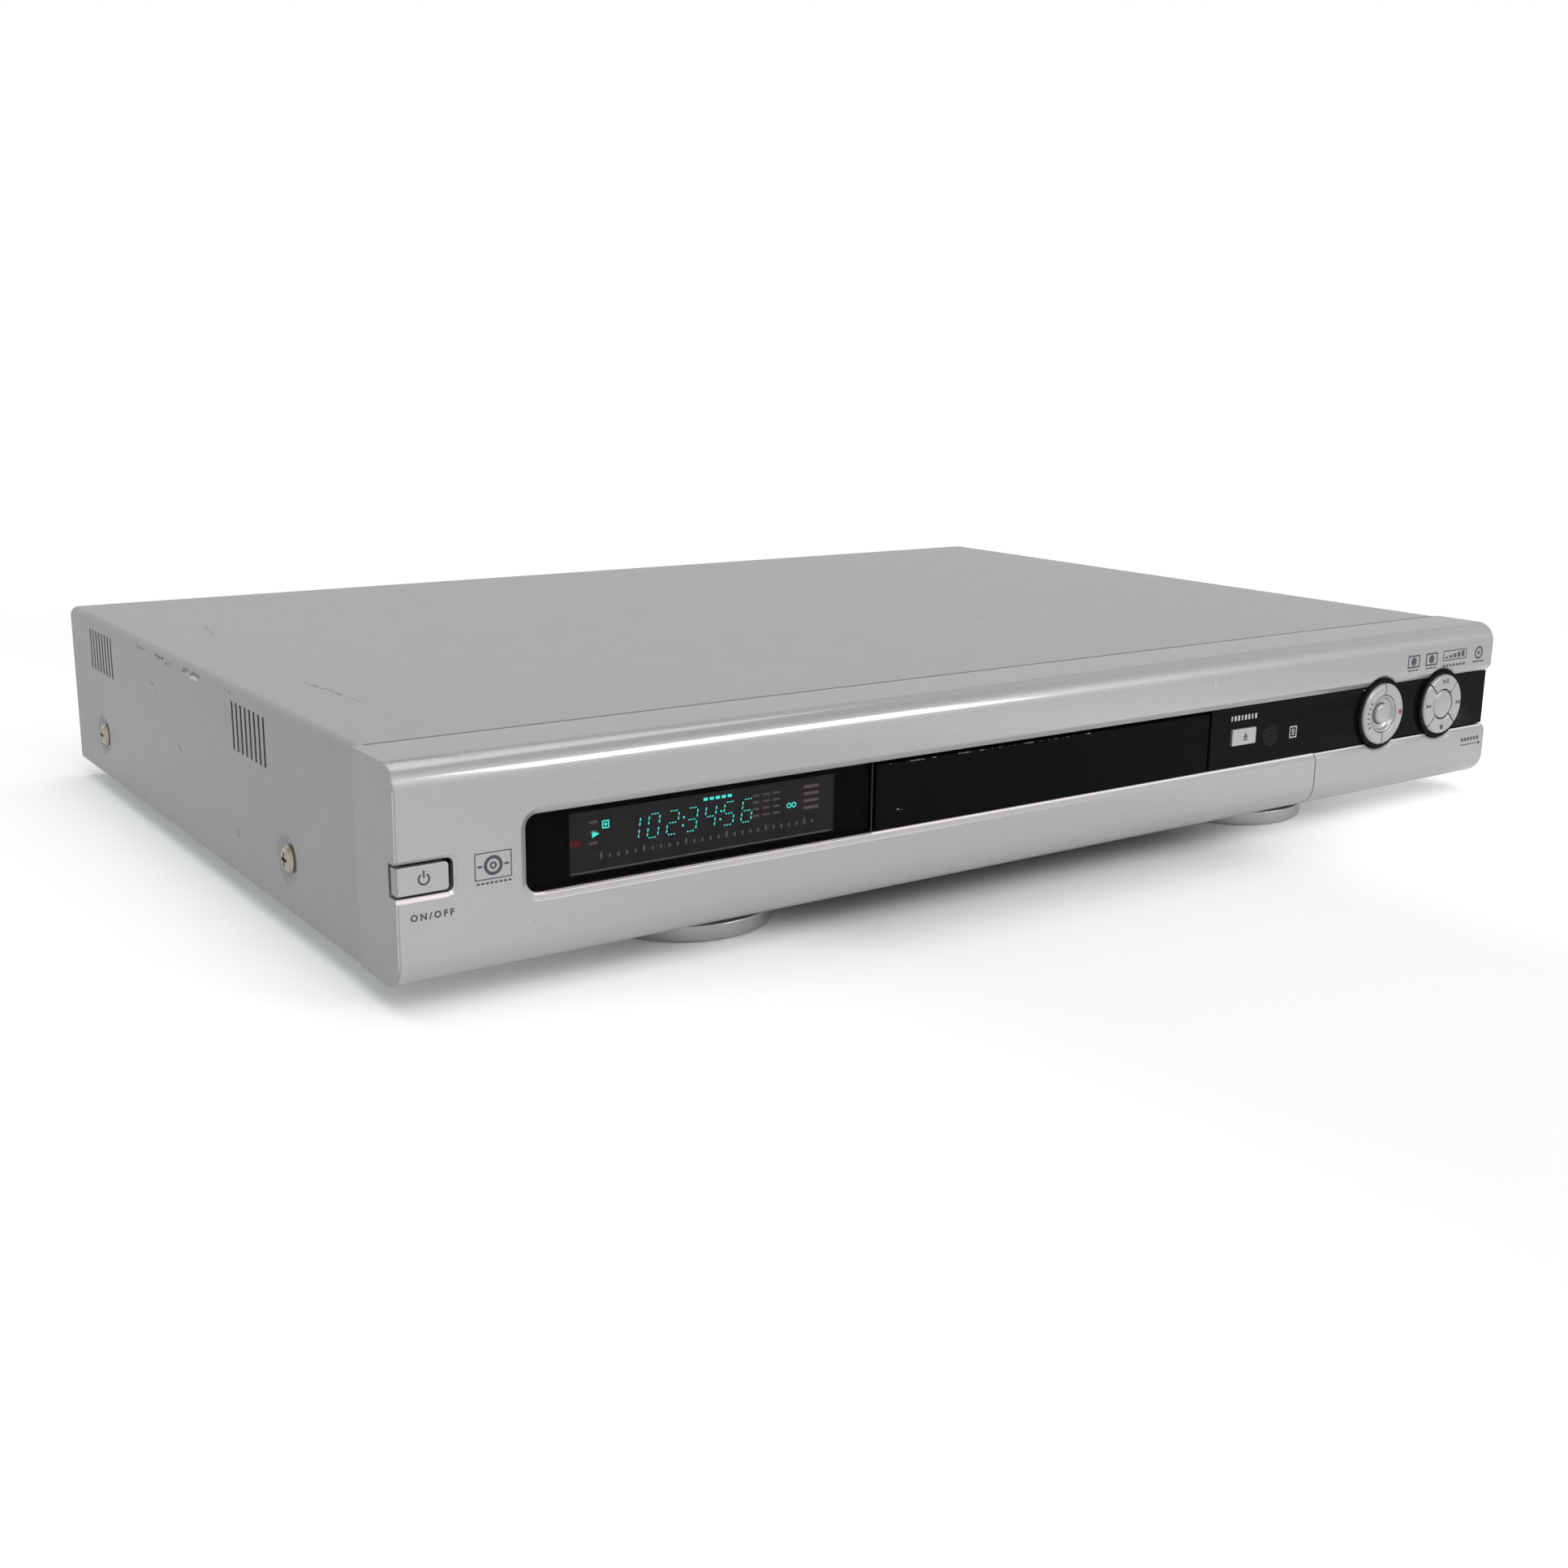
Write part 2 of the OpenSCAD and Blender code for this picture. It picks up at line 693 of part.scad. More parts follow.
function ring_stems(angles) = [for (a = angles) polar(stem_ring, a)];

module right_panel() {
    y = [band_recess, dial_floor_y];
    color(dark) in_place() difference() {
        union() {
            slab([panel_x[0], panel_x[1]], y, [band_lo, band_hi], 0.8);
            slab([panel_x[0], xr - bezel_t - 1], [flange_y, flange_y + flange_t],
                 [band_lo, win_top + flange_w], 0.5);
            slab([panel_x[0], flap_x - 8], [flange_y, flange_y + flange_t],
                 [win_z - flange_w, band_hi], 0.5);
            block([xr - bezel_t - 0.6, panel_x[1]], [band_recess + eps, side_wrap - band_gap],
                  [band_lo, band_hi]);
            for (x = [dial_left_x, dial_right_x]) {
                rod_y(x, dial_z, [0.2, flange_y + flange_t], dial_well_r);
            }
        }
        for (x = [dial_left_x, dial_right_x])
            rod_y(x, dial_z, [-1, dial_floor_y], dial_r + key_gap);
        dial_stem_holes(dial_left_x, concat([[0, 0]], ring_stems([0, 180])));
        dial_stem_holes(dial_right_x, concat([[0, 0]], ring_stems([0 : 90 : 270])));
        slab([eject_x - eject_w / 2 - key_gap, eject_x + eject_w / 2 + key_gap], [-1, 9],
             [29.2 - eject_h / 2 - key_gap, 29.2 + eject_h / 2 + key_gap], 0.5);
    }
}

module tray_surround() {
    t = 1.5;
    half = tray_w / 2 + 1.05;
    x = [tray_x - half, tray_x + half];
    z = [tray_z - 2.6, tray_top + 3.4];
    y = [band_recess + door_t + 0.5, wall_y - 0.4];
    color(dark) in_place() difference() {
        union() {
            block([x[0] - t, x[1] + t], y, [z[0] - t, z[1] + t]);
            block([door_x[0] - door_gap + 0.2, door_x[1] + door_gap - 0.2],
                  [y[0], y[0] + 1.6], [win_z - 2, win_top + 2]);
        }
        block(x, [0, 40], z);
        // way through for the rack under the tray
        block([tray_x + rack_x - 5, tray_x + rack_x + 3], [0, 40], [rack_z[0] - 1, z[1]]);
    }
}

module power_button() {
    w = power_w - power_side_gap;
    z = [power_z - power_h / 2 + 0.7, power_z + power_h / 2 - 0.7];
    color(silver) in_place() {
        slab([xl + 0.15, xl + w], [power_face, 2.4], z, 1.1);
        block([xl + 0.15, xl + 4], [power_face, 2.4], z);
        block([xl + 0.15, xl + 2.3], [2.4 - eps, power_wrap - key_travel - 0.4], z);
        block([xl + 6, xl + 10], [2.4 - eps, stem_end], [power_z - 2, power_z + 2]);
    }
}

module eject_button() {
    color(silver) in_place() {
        slab([eject_x - eject_w / 2, eject_x + eject_w / 2], [0.7, 3.4],
             [29.2 - eject_h / 2, 29.2 + eject_h / 2], 0.4);
        rod_y(eject_x, 29.2, [3.4 - eps, stem_end], stem_r);
    }
}

// A crowned ring of the dial between two radii, in front of its floor
module dial_ring(x, r0, r1, face, edge) {
    translate([x, 0, dial_z]) rotate([90, 0, 0]) rotate_extrude($fn = 64)
        polygon([[r0, -dial_floor_y + key_travel + 0.2], [r1, -dial_floor_y + key_travel + 0.2],
                 [r1, edge], [r1 - 0.7, face], [r0 + 0.5, face], [r0, face - 0.4]]);
}

// The part of a ring that lies within half an angle of direction a
module sector(x, a, half) {
    reach = 30;
    translate([x, 8, dial_z]) rotate([90, 0, 0]) rotate([0, 0, a])
        linear_extrude(16)
            polygon(half >= 90
                ? [[0.2, -reach], [reach, -reach], [reach, reach], [0.2, reach]]
                : [[0.3, 0], [reach, -(reach - 0.3) * tan(half)],
                   [reach, (reach - 0.3) * tan(half)]]);
}

module ring_key(x, a, half, r0) {
    color(silver) in_place() {
        intersection() {
            dial_ring(x, r0, dial_r, dial_stand, 0.4);
            sector(x, a, half);
        }
        rod_y(x + stem_ring * cos(a), dial_z + stem_ring * sin(a),
              [dial_floor_y - key_travel - 0.3, stem_end], stem_r);
    }
}

module source_button() {
    ring_key(dial_left_x, 180, 90, dial_inner_r + 0.2);
}

module record_button() {
    ring_key(dial_left_x, 0, 90, dial_inner_r + 0.2);
}

module play_button() {
    ring_key(dial_right_x, 90, 45, dial_cap_r + key_gap);
}

module next_button() {
    ring_key(dial_right_x, 0, 45, dial_cap_r + key_gap);
}

module stop_button() {
    ring_key(dial_right_x, 270, 45, dial_cap_r + key_gap);
}

module previous_button() {
    ring_key(dial_right_x, 180, 45, dial_cap_r + key_gap);
}

// The fixed dish between the split ring and the middle button
module dial_dish() {
    color(silver) in_place()
        translate([dial_left_x, 0, dial_z]) rotate([90, 0, 0]) rotate_extrude($fn = 64)
            polygon([[select_r + key_gap, -dial_floor_y], [dial_inner_r, -dial_floor_y],
                     [dial_inner_r, 0.5], [dial_inner_r - 0.5, 0.3],
                     [dial_inner_r - 1.1, -0.5], [select_r + 0.9, -0.9],
                     [select_r + key_gap, -0.9]]);
}

module round_key(x, r, face) {
    color(silver) in_place() {
        translate([x, 0, dial_z]) rotate([90, 0, 0]) rotate_extrude($fn = 64)
            polygon([[0, -dial_floor_y + key_travel + 0.2],
                     [r, -dial_floor_y + key_travel + 0.2], [r, face - 0.5],
                     [r - 0.5, face], [0, face + 0.15]]);
        rod_y(x, dial_z, [dial_floor_y - key_travel - 0.3, stem_end], stem_r);
    }
}

module select_button() {
    round_key(dial_left_x, select_r, 0.6);
}

module enter_button() {
    round_key(dial_right_x, dial_cap_r, 0.85);
}

module tact_switch(x, z) {
    rod_y(x, z, [switch_front, switch_front + 1], 1.7);
    block([x - 2.6, x + 2.6], [switch_front + 0.6, key_board_y + eps], [z - 2.6, z + 2.6]);
}

module key_boards() {
    color(green) in_place() {
        slab([panel_x[0] + 4, xr - 8], [key_board_y, key_board_y + board_t],
             [win_z + 1, win_top + 8], 1);
        for (p = concat([[dial_left_x, dial_z], [dial_right_x, dial_z], [eject_x, 29.2]],
                        [for (q = ring_stems([0, 180])) [dial_left_x + q[0], dial_z + q[1]]],
                        [for (q = ring_stems([0 : 90 : 270]))
                            [dial_right_x + q[0], dial_z + q[1]]]))
            tact_switch(p[0], p[1]);
        slab([xl + 4, xl + 26], [key_board_y, key_board_y + board_t],
             [power_z - 14, power_z + 14], 1);
        tact_switch(xl + 8, power_z);
    }
}

module display_board() {
    color(green) in_place()
        slab([lens_x[0] - 4, lens_x[1] - 1], [display_board_y, display_board_y + board_t],
             [12, case_h - 6.5], 1);
}

module display_tube() {
    x = [lens_x[0] + 8, lens_x[1] - 10];
    z = [band_lo + 0.6, band_hi - 0.6];
    pitch = (x[1] - x[0] - 8.6) / 15;
    color([0.25, 0.3, 0.3]) in_place() {
        block(x, [flange_y + flange_t + 0.4, key_board_y + 1], z);
        // pins to the board
        for (i = [0 : 15])
            block([x[0] + 4 + i * pitch, x[0] + 4.6 + i * pitch],
                  [key_board_y + 1 - eps, display_board_y], [z[0] + 1, z[0] + 1.4]);
    }
}

module front_socket_panel() {
    x = [flap_x + 1, xr - bezel_t - 1];
    color(plastic) in_place() difference() {
        union() {
            block(x, [socket_wall_y, socket_wall_y + 2], [shelf_z + shelf_t + 0.1, win_z - 0.8]);
            block(x, [hinge_y + 0.5, socket_wall_y + eps], [win_z - 1.4, win_z - 0.8]);
        }
        for (i = [0 : 2])
            rod_y(front_socket_x(i), socket_row_z, [socket_wall_y - 1, socket_wall_y + 3], phono_r + 0.2);
        rod_y(front_socket_x(-1), socket_row_z, [socket_wall_y - 1, socket_wall_y + 3], 4.9);
        block([front_socket_x(3) - 3.2, front_socket_x(3) + 3.2],
              [socket_wall_y - 1, socket_wall_y + 3],
              [socket_row_z - 2.2, socket_row_z + 2.2]);
    }
}

function front_socket_x(i) = flap_x + 26 + i * phono_pitch;

module phono(x, z, y0, y1, body) {
    difference() {
        rod_y(x, z, [y0, y1], phono_r);
        rod_y(x, z, [y0 - 1, y0 + 7.5], 1.75);
        rod_y(x, z, [y0 - 1, y0 + 6.5], phono_r - 0.8);
    }
    difference() {
        rod_y(x, z, [y0 + 0.2, y1], phono_r - 1.1);
        rod_y(x, z, [y0 - 1, y0 + 7.5], 1.75);
    }
    block([x - 5, x + 5], body, [z - 4.8, z + 4.8]);
}

module front_sockets() {
    color(brass) in_place() {
        for (i = [0 : 2])
            phono(front_socket_x(i), socket_row_z, socket_wall_y - 8, socket_wall_y + 4,
                  [socket_wall_y + 2.2, socket_wall_y + 8]);
        // round video socket
        difference() {
            rod_y(front_socket_x(-1), socket_row_z, [socket_wall_y - 1, socket_wall_y + 8], 4.7);
            rod_y(front_socket_x(-1), socket_row_z, [socket_wall_y - 2, socket_wall_y + 4], 4);
        }
        // digital video socket
        difference() {
            block([front_socket_x(3) - 3, front_socket_x(3) + 3],
                  [socket_wall_y - 0.6, socket_wall_y + 8],
                  [socket_row_z - 2, socket_row_z + 2]);
            block([front_socket_x(3) - 2.5, front_socket_x(3) + 2.5],
                  [socket_wall_y - 2, socket_wall_y + 4],
                  [socket_row_z - 1.5, socket_row_z + 1.5]);
        }
    }
}

// ---------- feet and screws ----------
function foot_places() = [
    [-foot_x, foot_front], [foot_x, foot_front],
    [-foot_x, case_d - foot_rear], [foot_x, case_d - foot_rear]];

module foot(i) {
    p = foot_places()[i];
    color(silver) in_place() translate([p[0], p[1], 0]) difference() {
        rotate_extrude($fn = 96) polygon([
            [0, -foot_h + pad_t], [foot_r - 2.8, -foot_h + pad_t],
            [foot_r - 2.8, -foot_h + foot_lift], [foot_r - 0.4, -foot_h + foot_lift],
            [foot_r, -foot_h + foot_lift + 0.4], [foot_r, -2.1], [foot_r - 0.5, -1.6],
            [foot_r - 5, -1.6], [foot_r - 5, 0], [0, 0]]);
        cylinder(h = 4, r = 8, center = true);
    }
}

module foot_front_left() { foot(0); }
module foot_front_right() { foot(1); }
module foot_rear_left() { foot(2); }
module foot_rear_right() { foot(3); }

module foot_pads() {
    color(dark) in_place() for (p = foot_places())
        translate([p[0], p[1], -foot_h]) difference() {
            cylinder(h = pad_t, r = foot_r - 3);
            translate([0, 0, -1]) cylinder(h = pad_t + 2, r = foot_r - 12);
        }
}

// A pan-head cross-slot screw along +x, its seat at x = 0
module pan_screw(r, shank, l) {
    difference() {
        rotate([0, 90, 0]) rotate_extrude($fn = 32)
            polygon([[0, -l], [shank, -l], [shank, 0], [r, 0],
                     [r, 0.9], [r - 0.7, 1.7], [r - 1.8, 2.1], [0, 2.2]]);
        for (a = [0, 90]) rotate([a, 0, 0])
            translate([1.2, -0.5, -2]) cube([2, 1, 4]);
    }
}

module side_screws() {
    color(metal) in_place()
        for (s = [-1, 1], y = side_screw_y)
            translate([s * (cover_x - dimple_d), y, side_screw_z])
                rotate([0, 0, s > 0 ? 0 : 180]) pan_screw(screw_head_r, 1.5, 6);
}

module rear_screws() {
    color(metal) in_place()
        for (p = rear_screw_places())
            translate([p[0], rear_y + sheet_t, p[1]])
                rotate([0, 0, 90]) pan_screw(3, 1.5, 5);
}

module drive_screws() {
    color(metal) in_drive()
        for (sx = [-1, 1], y = frame_posts())
            translate([sx * frame_post_x(), y, frame_z + 3])
                rotate([0, -90, 0]) pan_screw(3, 1.5, 3);
}

// ---------- disc drive ----------
module drive_frame() {
    fx = frame_x;
    y = frame_y;
    rail = 6;
    color(plastic) in_drive() difference() {
        union() {
            difference() {
                block([-fx, fx], y, [frame_z, bridge_z]);
                block([-fx + frame_wall, fx - frame_wall], [y[0] + 2, y[1] - frame_wall],
                      [frame_z + 2, bridge_z + 1]);
                block([-fx + frame_wall, fx - frame_wall], [y[0] - 1, y[0] + 4],
                      [frame_z + 12, bridge_z + 1]);
                block([-44, 44], [motor_y + 13, pivot_y + 8], [0, frame_z + 3]);
            }
            // rails under the tray's edges, and the pads that hold it down
            for (s = [-1, 1]) {
                block(s > 0 ? [fx - frame_wall - rail, fx - 1] : [-fx + 1, -fx + frame_wall + rail],
                      [y[0], y[1] - 1], [rail_z - 2.2, rail_z]);
                for (yy = [y[0] + 2, 96, y[1] - 16])
                    block(s > 0 ? [fx - frame_wall - 4.5, fx - 1]
                                : [-fx + 1, -fx + frame_wall + 4.5],
                          [yy, yy + 10], [tray_top + 0.3, tray_top + 2]);
                // lugs for the traverse pivot
                difference() {
                    block(s > 0 ? [pivot_x + 3, pivot_x + 12] : [-pivot_x - 12, -pivot_x - 3],
                          [pivot_y - 4, pivot_y + 9], [frame_z, pivot_z + 4]);
                    rod_x(pivot_y, pivot_z, [-50, 50], 2 + run_gap);
                }
            }
            for (sx = [-1, 1], py = frame_posts())
                rod_z(sx * frame_post_x(), py, [frame_z, frame_z + 3], 4.4);
            rod_z(drive_x, drive_y, [frame_z, frame_z + 4], 4);
            rod_z(drive_x, drive_y, [frame_z, rack_z[1] - 0.6], 1.5);
            rod_z(wheel_x, wheel_y, [frame_z, 10.8], 3);
            rod_z(wheel_x, wheel_y, [frame_z, 20], 1.2);
        }
        rod_z(motor_x, motor_y, [0, frame_z + 3], 12.3);
        for (sx = [-1, 1], py = frame_posts())
            rod_z(sx * frame_post_x(), py, [frame_z - 1, frame_z + 4], 1.7);
    }
}

module tray() {
    y = [band_recess + door_t, tray_back];
    hw = tray_w / 2;
    color(dark) in_drive() difference() {
        union() {
            block([-hw, hw], y, [tray_z, tray_top]);
            translate([rack_x, drive_y, 0])
                rack(-4, 43, rack_m, 4, [rack_z[0], rack_z[1] + eps]);
        }
        rod_z(0, spindle_y, [disc_floor, tray_top + 1], disc_r);
        rod_z(0, spindle_y, [small_floor, tray_top + 1], small_disc_r);
        block([-slot_half, slot_half], [spindle_y - slot_half, tray_back + 1],
              [tray_z - 1, tray_top + 1]);
        // finger scoops beside the recess
        for (s = [-1, 1])
            rod_z(s * (disc_r - 2), spindle_y - 40, [disc_floor - 1, tray_top + 1], 16);
        // lightened underside at the front
        block([-hw + 12, hw - 12], [y[0] + 3, spindle_y - disc_r + 4], [tray_z - 1, tray_z + 2.5]);
    }
}

module tray_front() {
    z = [win_z + 0.5, win_top - 1.2];
    y = [band_recess - 0.1, band_recess + door_t];
    color(dark) in_place() difference() {
        slab(door_x, y, z, 0.6);
        // hollow back
        block([door_x[0] + 3, door_x[1] - 3], [y[0] + 2, y[1] + 1], [z[0] + 1.5, tray_z - 0.5]);
        block([door_x[0] + 3, door_x[1] - 3], [y[0] + 2, y[1] + 1], [tray_top + 0.5, z[1] - 1.5]);
    }
}

module drive_gear() {
    color("white") in_drive() translate([drive_x, drive_y, 0]) difference() {
        union() {
            rotate([0, 0, 180 + 180 / pinion_n]) gear(pinion_n, rack_m, [rack_z[0], rack_z[1] - 0.5]);
            rotate([0, 0, train_a]) gear(wheel_n, train_m, [16, 18.6]);
            rod_z(0, 0, [frame_z + 4.4, 20.7], 5);
        }
        rod_z(0, 0, [0, 40], 1.5 + run_gap);
    }
}

module pulley_wheel() {
    color("white") in_drive() translate([wheel_x, wheel_y, 0]) difference() {
        union() {
            rotate([0, 0, train_a + 180 + 180 / small_n]) gear(small_n, train_m, [15.2, 19]);
            rod_z(0, 0, [11, belt_z - 0.9], pulley_r + 0.9);
            rod_z(0, 0, [11, 14.7], pulley_r - belt_r - 0.15);
            rod_z(0, 0, [belt_z + 0.9, 15.4], pulley_r + 0.9);
        }
        rod_z(0, 0, [0, 40], 1.2 + run_gap);
    }
}

module motor_pulley() {
    color(brass) in_drive() translate([motor_x, motor_y, 0]) difference() {
        union() {
            rod_z(0, 0, [11, belt_z - 0.9], motor_pulley_r + 0.6);
            rod_z(0, 0, [11, 14.7], motor_pulley_r - belt_r - 0.15);
            rod_z(0, 0, [belt_z + 0.9, 14.7], motor_pulley_r + 0.6);
        }
        rod_z(0, 0, [0, 40], 1 + run_gap);
    }
}

// The belt runs round both pulleys on the outer tangents
module drive_belt() {
    d = norm([motor_x - wheel_x, motor_y - wheel_y]);
    a = atan2(motor_y - wheel_y, motor_x - wheel_x);
    lean = asin((pulley_r - motor_pulley_r) / d);
    run = sqrt(d * d - pow(pulley_r - motor_pulley_r, 2));
    color([0.05, 0.05, 0.05]) in_drive() translate([wheel_x, wheel_y, belt_z]) rotate([0, 0, a]) {
        rotate([0, 0, 90 - lean]) rotate_extrude(angle = 180 + 2 * lean)
            translate([pulley_r, 0]) square(2 * belt_r, center = true);
        translate([d, 0, 0]) rotate([0, 0, -90 + lean]) rotate_extrude(angle = 180 - 2 * lean)
            translate([motor_pulley_r, 0]) square(2 * belt_r, center = true);
        for (s = [-1, 1]) rotate([0, 0, -s * lean])
            translate([-eps, s * pulley_r - belt_r, -belt_r]) cube([run + 2 * eps, 2 * belt_r, 2 * belt_r]);
    }
}

module loading_motor() {
    color(metal) in_drive() translate([motor_x, motor_y, 0]) {
        rod_z(0, 0, [2.2, 10.3], 12);
        rod_z(0, 0, [10.3 - eps, 10.8], 3);
        rod_z(0, 0, [10, 14.4], 1);
    }
}

module traverse() {
    color(metal) in_drive() {
        difference() {
            union() {
                block([-32, 32], [motor_y + 14, 100], [plate_z, plate_z + plate_t]);
                block([-40, 42], [100 - eps, pivot_y - 6], [plate_z, plate_z + plate_t]);
                block([-pivot_x, pivot_x], [pivot_y - 6.1, pivot_y + 2], [plate_z, plate_z + plate_t]);
                rod_x(pivot_y, pivot_z, [-pivot_x, pivot_x], 3);
                rod_x(pivot_y, pivot_z, [-pivot_x - 8, pivot_x + 8], 2);
                // turned-down stiffening edges
                for (s = [-1, 1])
                    block(s > 0 ? [31, 32] : [-32, -31], [motor_y + 14, 100], [plate_z - 3, plate_z + eps]);
                // rod carriers
                for (s = [-1, 1], y = [[rod_y0 + 0.4, rod_y0 + 3.4], [rod_y1 - 3, rod_y1]])
                    block([s * rod_x - 3.2, s * rod_x + 3.2], y, [plate_z + 1, rod_z + 2.6]);
                rod_z(sled_gear_x, sled_gear_y, [plate_z - 1, plate_z + plate_t + 0.8], 2.2);
            }
            block([-15, 15], [98, 152], [plate_z - 1, plate_z + plate_t + 1]);
            rod_z(0, spindle_y, [0, 20], 6);
            for (s = [-1, 1])
                rod_y(s * rod_x, rod_z, [0, 300], rod_r + 0.02);
            rod_z(sled_gear_x, sled_gear_y, [0, 20], 1 + run_gap);
            rod_z(sled_motor_x, sled_motor_y, [0, 20], 2);
        }
    }
}

module spindle_motor() {
    color(metal) in_drive() translate([0, spindle_y, 0]) difference() {
        union() {
            rod_z(0, 0, [plate_z + plate_t, plate_z + plate_t + 0.8], 12);
            rod_z(0, 0, [9.5, 22], 3.6);
            rod_z(0, 0, [plate_z - 1.5, plate_z + plate_t + 0.2], 5.9);
            for (a = [0 : 60 : 359]) rotate([0, 0, a])
                block([3, 10.6], [-1.6, 1.6], [17.4, 20.6]);
        }
        rod_z(0, 0, [10.4, 40], 1.2 + run_gap);
    }
}

module turntable() {
    can = 13;
    color(plastic) in_drive() translate([0, spindle_y, 0]) {
        difference() {
            rod_z(0, 0, [16.4, 23.6], can);
            rod_z(0, 0, [16, 22.6], can - 1);
        }
        rod_z(0, 0, [10.8, 24], 1.2);
        rotate_extrude($fn = 64) polygon([
            [0, 23.5], [11, 23.5], [11, 26.4], [15, 27.2], [15, seat_z],
            [7.6, seat_z], [7.45, seat_z + 0.6], [6, seat_z + 2.2], [0, seat_z + 2.2]]);
    }
}

module clamp_bridge() {
    color(metal) in_drive() difference() {
        union() {
            block([-frame_x, frame_x], [spindle_y - 16, spindle_y + 16],
                  [bridge_z, bridge_z + sheet_t]);
            for (s = [-1, 1])
                block([-50, 50], s > 0 ? [spindle_y + 15, spindle_y + 16]
                                       : [spindle_y - 16, spindle_y - 15],
                      [bridge_z, bridge_z + 4]);
        }
        rod_z(0, spindle_y, [bridge_z - 1, bridge_z + 2], 11.3);
    }
}

module clamp_puck() {
    z = seat_z + 2.2 + puck_gap;
    top = bridge_z + sheet_t + 0.3;
    color(plastic) in_drive() translate([0, spindle_y, 0]) {
        rod_z(0, 0, [z, z + 2], 14);
        rod_z(0, 0, [z + 1, top + 1], 10.6);
        rod_z(0, 0, [top, top + 1.8], 13.4);
        rod_z(0, 0, [top, top + 2.6], 6);
    }
}

module guide_rods() {
    color(metal) in_drive()
        for (s = [-1, 1])
            rod_y(s * rod_x, rod_z, [rod_y0, rod_y1], rod_r);
}

module pickup_sled() {
    y = [sled_y, sled_y + sled_l];
    top = tray_z - 0.6;
    color(plastic) in_drive() difference() {
        union() {
            block([-23, 23], [y[0] + 6, y[1]], [rod_z - 3.2, rod_z + 3]);
            block([-13.5, 13.5], y, [rod_z - 3.2, top]);
            translate([0, y[0] + 8, 0]) rod_z(0, 0, [top - 1, top + 2.2], 6);
            block([22, sled_rack_x - 1.25 * sled_m + eps], [82, y[1]], [rod_z - 2.6, rod_z]);
            translate([sled_rack_x, sled_gear_y, 0])
                rack(-20, 1, sled_m, 2, [rod_z - 2.6, rod_z]);
        }
        translate([0, y[0] + 8, 0]) rod_z(0, 0, [top + 1.4, top + 4], 2.6);
        for (s = [-1, 1]) rod_y(s * rod_x, rod_z, [0, 300], rod_r + run_gap);
    }
}

module sled_gear() {
    color("white") in_drive() translate([sled_gear_x, sled_gear_y, 0]) {
        rotate([0, 0, 180 + 180 / sled_pinion_n])
            gear(sled_pinion_n, sled_m, [plate_z + plate_t + 1.1, rod_z]);
        rotate([0, 0, sled_motor_a]) gear(sled_wheel_n, sled_m, [9.8, 11.7]);
        rod_z(0, 0, [9.8, rod_z], 1);
    }
}

module sled_pinion() {
    color(brass) in_drive() translate([sled_motor_x, sled_motor_y, 0]) {
        rotate([0, 0, sled_motor_a + 180 + 180 / sled_motor_n])
            gear(sled_motor_n, sled_m, [9.4, 12.2]);
        rod_z(0, 0, [9.4, 15], 0.8);
    }
}

module sled_motor() {
    color(metal) in_drive() translate([sled_motor_x, sled_motor_y, 0]) difference() {
        rod_z(0, 0, [plate_z + plate_t, 23], 4.4);
        rod_z(0, 0, [0, 15.6], 1);
    }
}

// ---------- electronics ----------
module main_board() {
    x = main_x;
    color(green) in_place() {
        block(x, [main_y, rear_y - 1], [board_z, board_z + board_t]);
        block([io_x, x[1]], [io_y, rear_y - 1], [board_z, board_z + board_t]);
        for (c = [[x[0] + 58, main_y + 90, 14, 3], [x[0] + 24, io_y - 52, 8, 2.6],
                  [x[0] + 84, io_y - 52, 9, 2.6], [x[0] + 22, main_y + 36, 7, 2.4],
                  [60, io_y + 16, 7, 2.6], [10, io_y + 16, 6, 2.6]])
            block([c[0] - c[2], c[0] + c[2]], [c[1] - c[2], c[1] + c[2]],
                  [board_z + board_t - eps, board_z + board_t + c[3]]);
        for (i = [0 : 5])
            rod_z(x[0] + 12 + i * 16, io_y - 11,
                  [board_z + board_t - eps, board_z + board_t + 11], 4);
    }
}

module heat_sink() {
    color(metal) in_place()
        fins([main_x[0] + 42, main_x[0] + 74], [main_y + 74, main_y + 106],
             [board_z + board_t + 3, board_z + board_t + 16], 3, 9, 1.2);
}

module psu_board() {
    color([0.55, 0.42, 0.2]) in_place() {
        board(psu_x, psu_y);
        fins([psu_x[0] + 14, psu_x[0] + 44], [psu_y[0] + 90, psu_y[0] + 94],
             [board_z + board_t - eps, board_z + 31], 4, 5, 2);
        block([psu_x[0] + 60, psu_x[0] + 64], [psu_y[1] - 83, psu_y[1] - 43],
              [board_z + board_t - eps, board_z + 27]);
        block([psu_x[1] - 30, psu_x[1] - 12], [psu_y[0] + 10, psu_y[0] + 16],
              [board_z + board_t - eps, board_z + 9]);
    }
}

module transformer() {
    z = board_z + board_t;
    color([0.75, 0.65, 0.3]) in_place() translate([psu_x[0] + 62, psu_y[0] + 90, z]) {
        difference() {
            block([-16, 16], [-14, 14], [0, 26]);
            for (s = [-1, 1])
                block(s > 0 ? [5, 11] : [-11, -5], [-15, 15], [5, 21]);
        }
        for (s = [-1, 1])
            block(s > 0 ? [5, 10.4] : [-10.4, -5], [-12, 12], [5.4, 20.6]);
    }
}

module psu_capacitors() {
    z = board_z + board_t;
    color([0.1, 0.1, 0.2]) in_place() {
        for (c = [[20, 165, 11, 32], [46, 40, 6, 22], [64, 40, 6, 22],
                  [82, 40, 6, 22], [30, 30, 5, 18]])
            rod_z(psu_x[0] + c[0], psu_y[0] + c[1], [z, z + c[3]], c[2]);
        for (y = [116, 130]) rod_z(psu_x[1] - 16, psu_y[0] + y, [z, z + 20], 5);
    }
}

